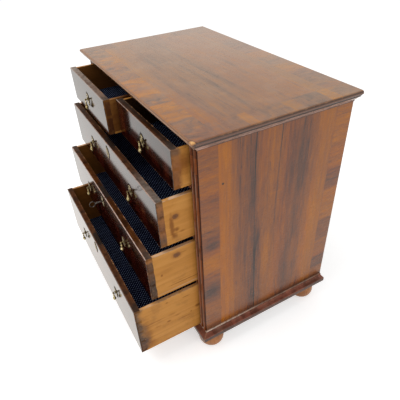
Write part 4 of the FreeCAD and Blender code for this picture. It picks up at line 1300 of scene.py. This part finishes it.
pearDrop = {
    # Radius and height over the tip, up to the neck under the eye.
    "profile": [(0.0010, 0.0000), (0.0021, 0.0003), (0.0023, 0.0012), (0.0017, 0.0022),
        (0.0030, 0.0032), (0.0054, 0.0050), (0.0063, 0.0080), (0.0058, 0.0110), (0.0040, 0.0155),
        (0.0026, 0.0195), (0.0020, 0.0222), (0.0030, 0.0236), (0.0034, 0.0246), (0.0030, 0.0256),
        (0.0019, 0.0268), (0.0018, 0.0305), (0.0020, 0.0338)],
    # Outer radius, radius of the hole, and half the thickness.
    "eye": (0.0034, 0.0013, 0.0018), "length": 0.037,
}


def makeDrop(node, x, y, z):
    shape = bmesh.new()
    place = Matrix.Translation((x, y, z - pearDrop["length"]))
    lathe(shape, rounded(pearDrop["profile"], 2), 28, place)
    addRing(shape, pearDrop["eye"], (x, y, z), 28, 12)
    makePiece(node.replace("_", "-"), shape, dropBrass, node, "brass", node, sharp=60)


for name in drawerNames:
    makeBrasses(name)
    for drop, place in swings.items():
        if drop.startswith(name):
            makeDrop(drop, *place)
print("brasses made")


# The key, in the middle drawer's lock.

drawerKey = {
    # Outer radius, radius of the hole, and half the thickness.
    "bow": (0.0125, 0.0097, 0.0014), "reach": 0.040, "tipIn": 0.0202, "startIn": 0.0008,
    # Radius, and how far before the tip.
    "stem": [(0.0026, 0.0457), (0.0032, 0.0448), (0.0040, 0.0440), (0.0040, 0.0425),
        (0.0031, 0.0418), (0.0038, 0.0408), (0.0036, 0.0400), (0.0026, 0.0392), (0.0026, 0.0004),
        (0.00221, 0.0)],
    # Shares of the bit's depth and length.
    "bit": [(0.0, 0.0), (1.0, 0.0), (1.0, 1.0), (0.62, 1.0), (0.62, 0.62), (0.42, 0.62), (0.42, 1.0),
        (0.0, 1.0)],
    "bitDepth": 0.0065, "bitLength": 0.010, "bitHalf": 0.00125, "bitBevel": 0.0002,
}


def makeKey():
    y, z = frontPlaces["middle"][0], frontPlaces["middle"][2]
    bowY = y - drawerKey["reach"]
    tipY = y + drawerKey["tipIn"]
    shape = bmesh.new()
    addRing(shape, drawerKey["bow"], (0.0, bowY, z), 48, 14)
    start = bowY + drawerKey["bow"][1] + drawerKey["startIn"]
    stem = [(radius, tipY - start - before) for radius, before in drawerKey["stem"]]
    forwards = Matrix.Translation((0.0, start, z)) @ Matrix.Rotation(math.radians(-90), 4, "X")
    lathe(shape, [(stem[0][0], 0.0)] + stem, 24, forwards)
    deep, drop, bevel = drawerKey["bitDepth"], drawerKey["bitLength"], drawerKey["bitBevel"]
    bitLine = [(across * deep, -down * drop) for across, down in drawerKey["bit"]]
    # The bit is drawn in X and Y, and stands along Y and Z.
    stand = Matrix.Translation((0.0, tipY - deep, z)) @ Matrix(
        ((0, 0, 1, 0), (1, 0, 0, 0), (0, 1, 0, 0), (0, 0, 0, 1)))
    addCurve(shape, [bitLine], stand, smooth=False, flat=drawerKey["bitHalf"] - bevel, bevel=bevel,
        sides=1)
    makePiece("lockKey", shape, iron, "key", "iron", "key")


makeKey()
print("key made")


# Floor, lights and camera.

studio = {
    "worldFill": 0.60, "floorGlow": 0.52, "glossTint": (1.0, 0.93, 0.84, 1.0), "floorReach": 14.0,
}
# Each lamp's place, the point it looks at, its width and its power in watts.
lamps = {
    "softKey": ((-0.5, -1.5, 3.7), (0.0, 0.0, 0.6), 3.0, 66.0),
    "softSide": ((3.2, 0.2, 1.9), (0.0, 0.1, 0.5), 2.4, 22.0),
}
# The view of the photograph, in degrees, millimetres for lens and sensor, and metres.
viewpoint = {
    "azimuth": 62.25, "elevation": 36.79, "roll": -3.01, "lens": 36.08, "sensor": 36.0,
    "nearest": 0.01, "place": (1.2392, -0.56005, 1.3700),
}


def whiteToLenses(tree):
    # True for rays that a lens, a gloss or a glass sends out, which then see a white room, a little
    # warmer in a gloss.
    path = outputsOf(tree.nodes.new("ShaderNodeLightPath"))
    seen = larger(path["Is Camera Ray"], path["Is Glossy Ray"])
    return larger(seen, path["Is Transmission Ray"]), path["Is Glossy Ray"]


def makeFloor():
    material = bpy.data.materials.new("paleFloor")
    material.use_nodes = True
    lens, gloss = whiteToLenses(material.node_tree)
    feedShader(material, {
        "Base Color": tone(0.80), "Roughness": 0.95, "Specular IOR Level": 0.0,
        "Emission Color": blend(gloss, 1.0, studio["glossTint"]),
        "Emission Strength": lens * studio["floorGlow"],
    })
    mesh = bpy.data.meshes.new("floor")
    shape = bmesh.new()
    reach = studio["floorReach"]
    corners = [(-reach, -reach), (reach, -reach), (reach, reach), (-reach, reach)]
    shape.faces.new([shape.verts.new((x, y, 0.0)) for x, y in corners])
    shape.to_mesh(mesh)
    shape.free()
    mesh.materials.append(material)
    floor = bpy.data.objects.new("floor", mesh)
    bpy.context.scene.collection.objects.link(floor)


def makeWorld():
    world = bpy.data.worlds.new("whiteRoom")
    bpy.context.scene.world = world
    world.use_nodes = True
    background = world.node_tree.nodes["Background"]
    lens, gloss = whiteToLenses(world.node_tree)
    feed(background.inputs["Color"], blend(gloss, 1.0, studio["glossTint"]))
    strength = ease(lens, 0.0, 1.0, studio["worldFill"], 1.0)
    feed(background.inputs["Strength"], strength)


def makeLamp(name, place, aim, size, power):
    lamp = bpy.data.lights.new(name, "AREA")
    lamp.shape = "DISK"
    lamp.size = size
    lamp.energy = power
    holder = bpy.data.objects.new(name, lamp)
    holder.location = place
    holder.rotation_mode = "QUATERNION"
    holder.rotation_quaternion = (Vector(aim) - Vector(place)).to_track_quat("-Z", "Y")
    bpy.context.scene.collection.objects.link(holder)


def makeCamera():
    azimuth, elevation, roll = (
        math.radians(viewpoint[title]) for title in ("azimuth", "elevation", "roll"))
    level = math.cos(elevation)
    back = Vector((math.sin(azimuth) * level, -math.cos(azimuth) * level, math.sin(elevation)))
    right = Vector((math.cos(azimuth), math.sin(azimuth), 0.0))
    up = back.cross(right)
    turnedRight = right * math.cos(roll) + up * math.sin(roll)
    turnedUp = up * math.cos(roll) - right * math.sin(roll)
    camera = bpy.data.cameras.new("camera")
    camera.sensor_width = viewpoint["sensor"]
    camera.lens = viewpoint["lens"]
    camera.clip_start = viewpoint["nearest"]
    holder = bpy.data.objects.new("camera", camera)
    turn = Matrix((turnedRight, turnedUp, back)).transposed().to_4x4()
    holder.matrix_world = Matrix.Translation(viewpoint["place"]) @ turn
    bpy.context.scene.collection.objects.link(holder)
    bpy.context.scene.camera = holder


makeFloor()
makeWorld()
for name, facts in lamps.items():
    makeLamp(name, *facts)
makeCamera()
bpy.context.scene.view_settings.view_transform = "Standard"
print("studio set")
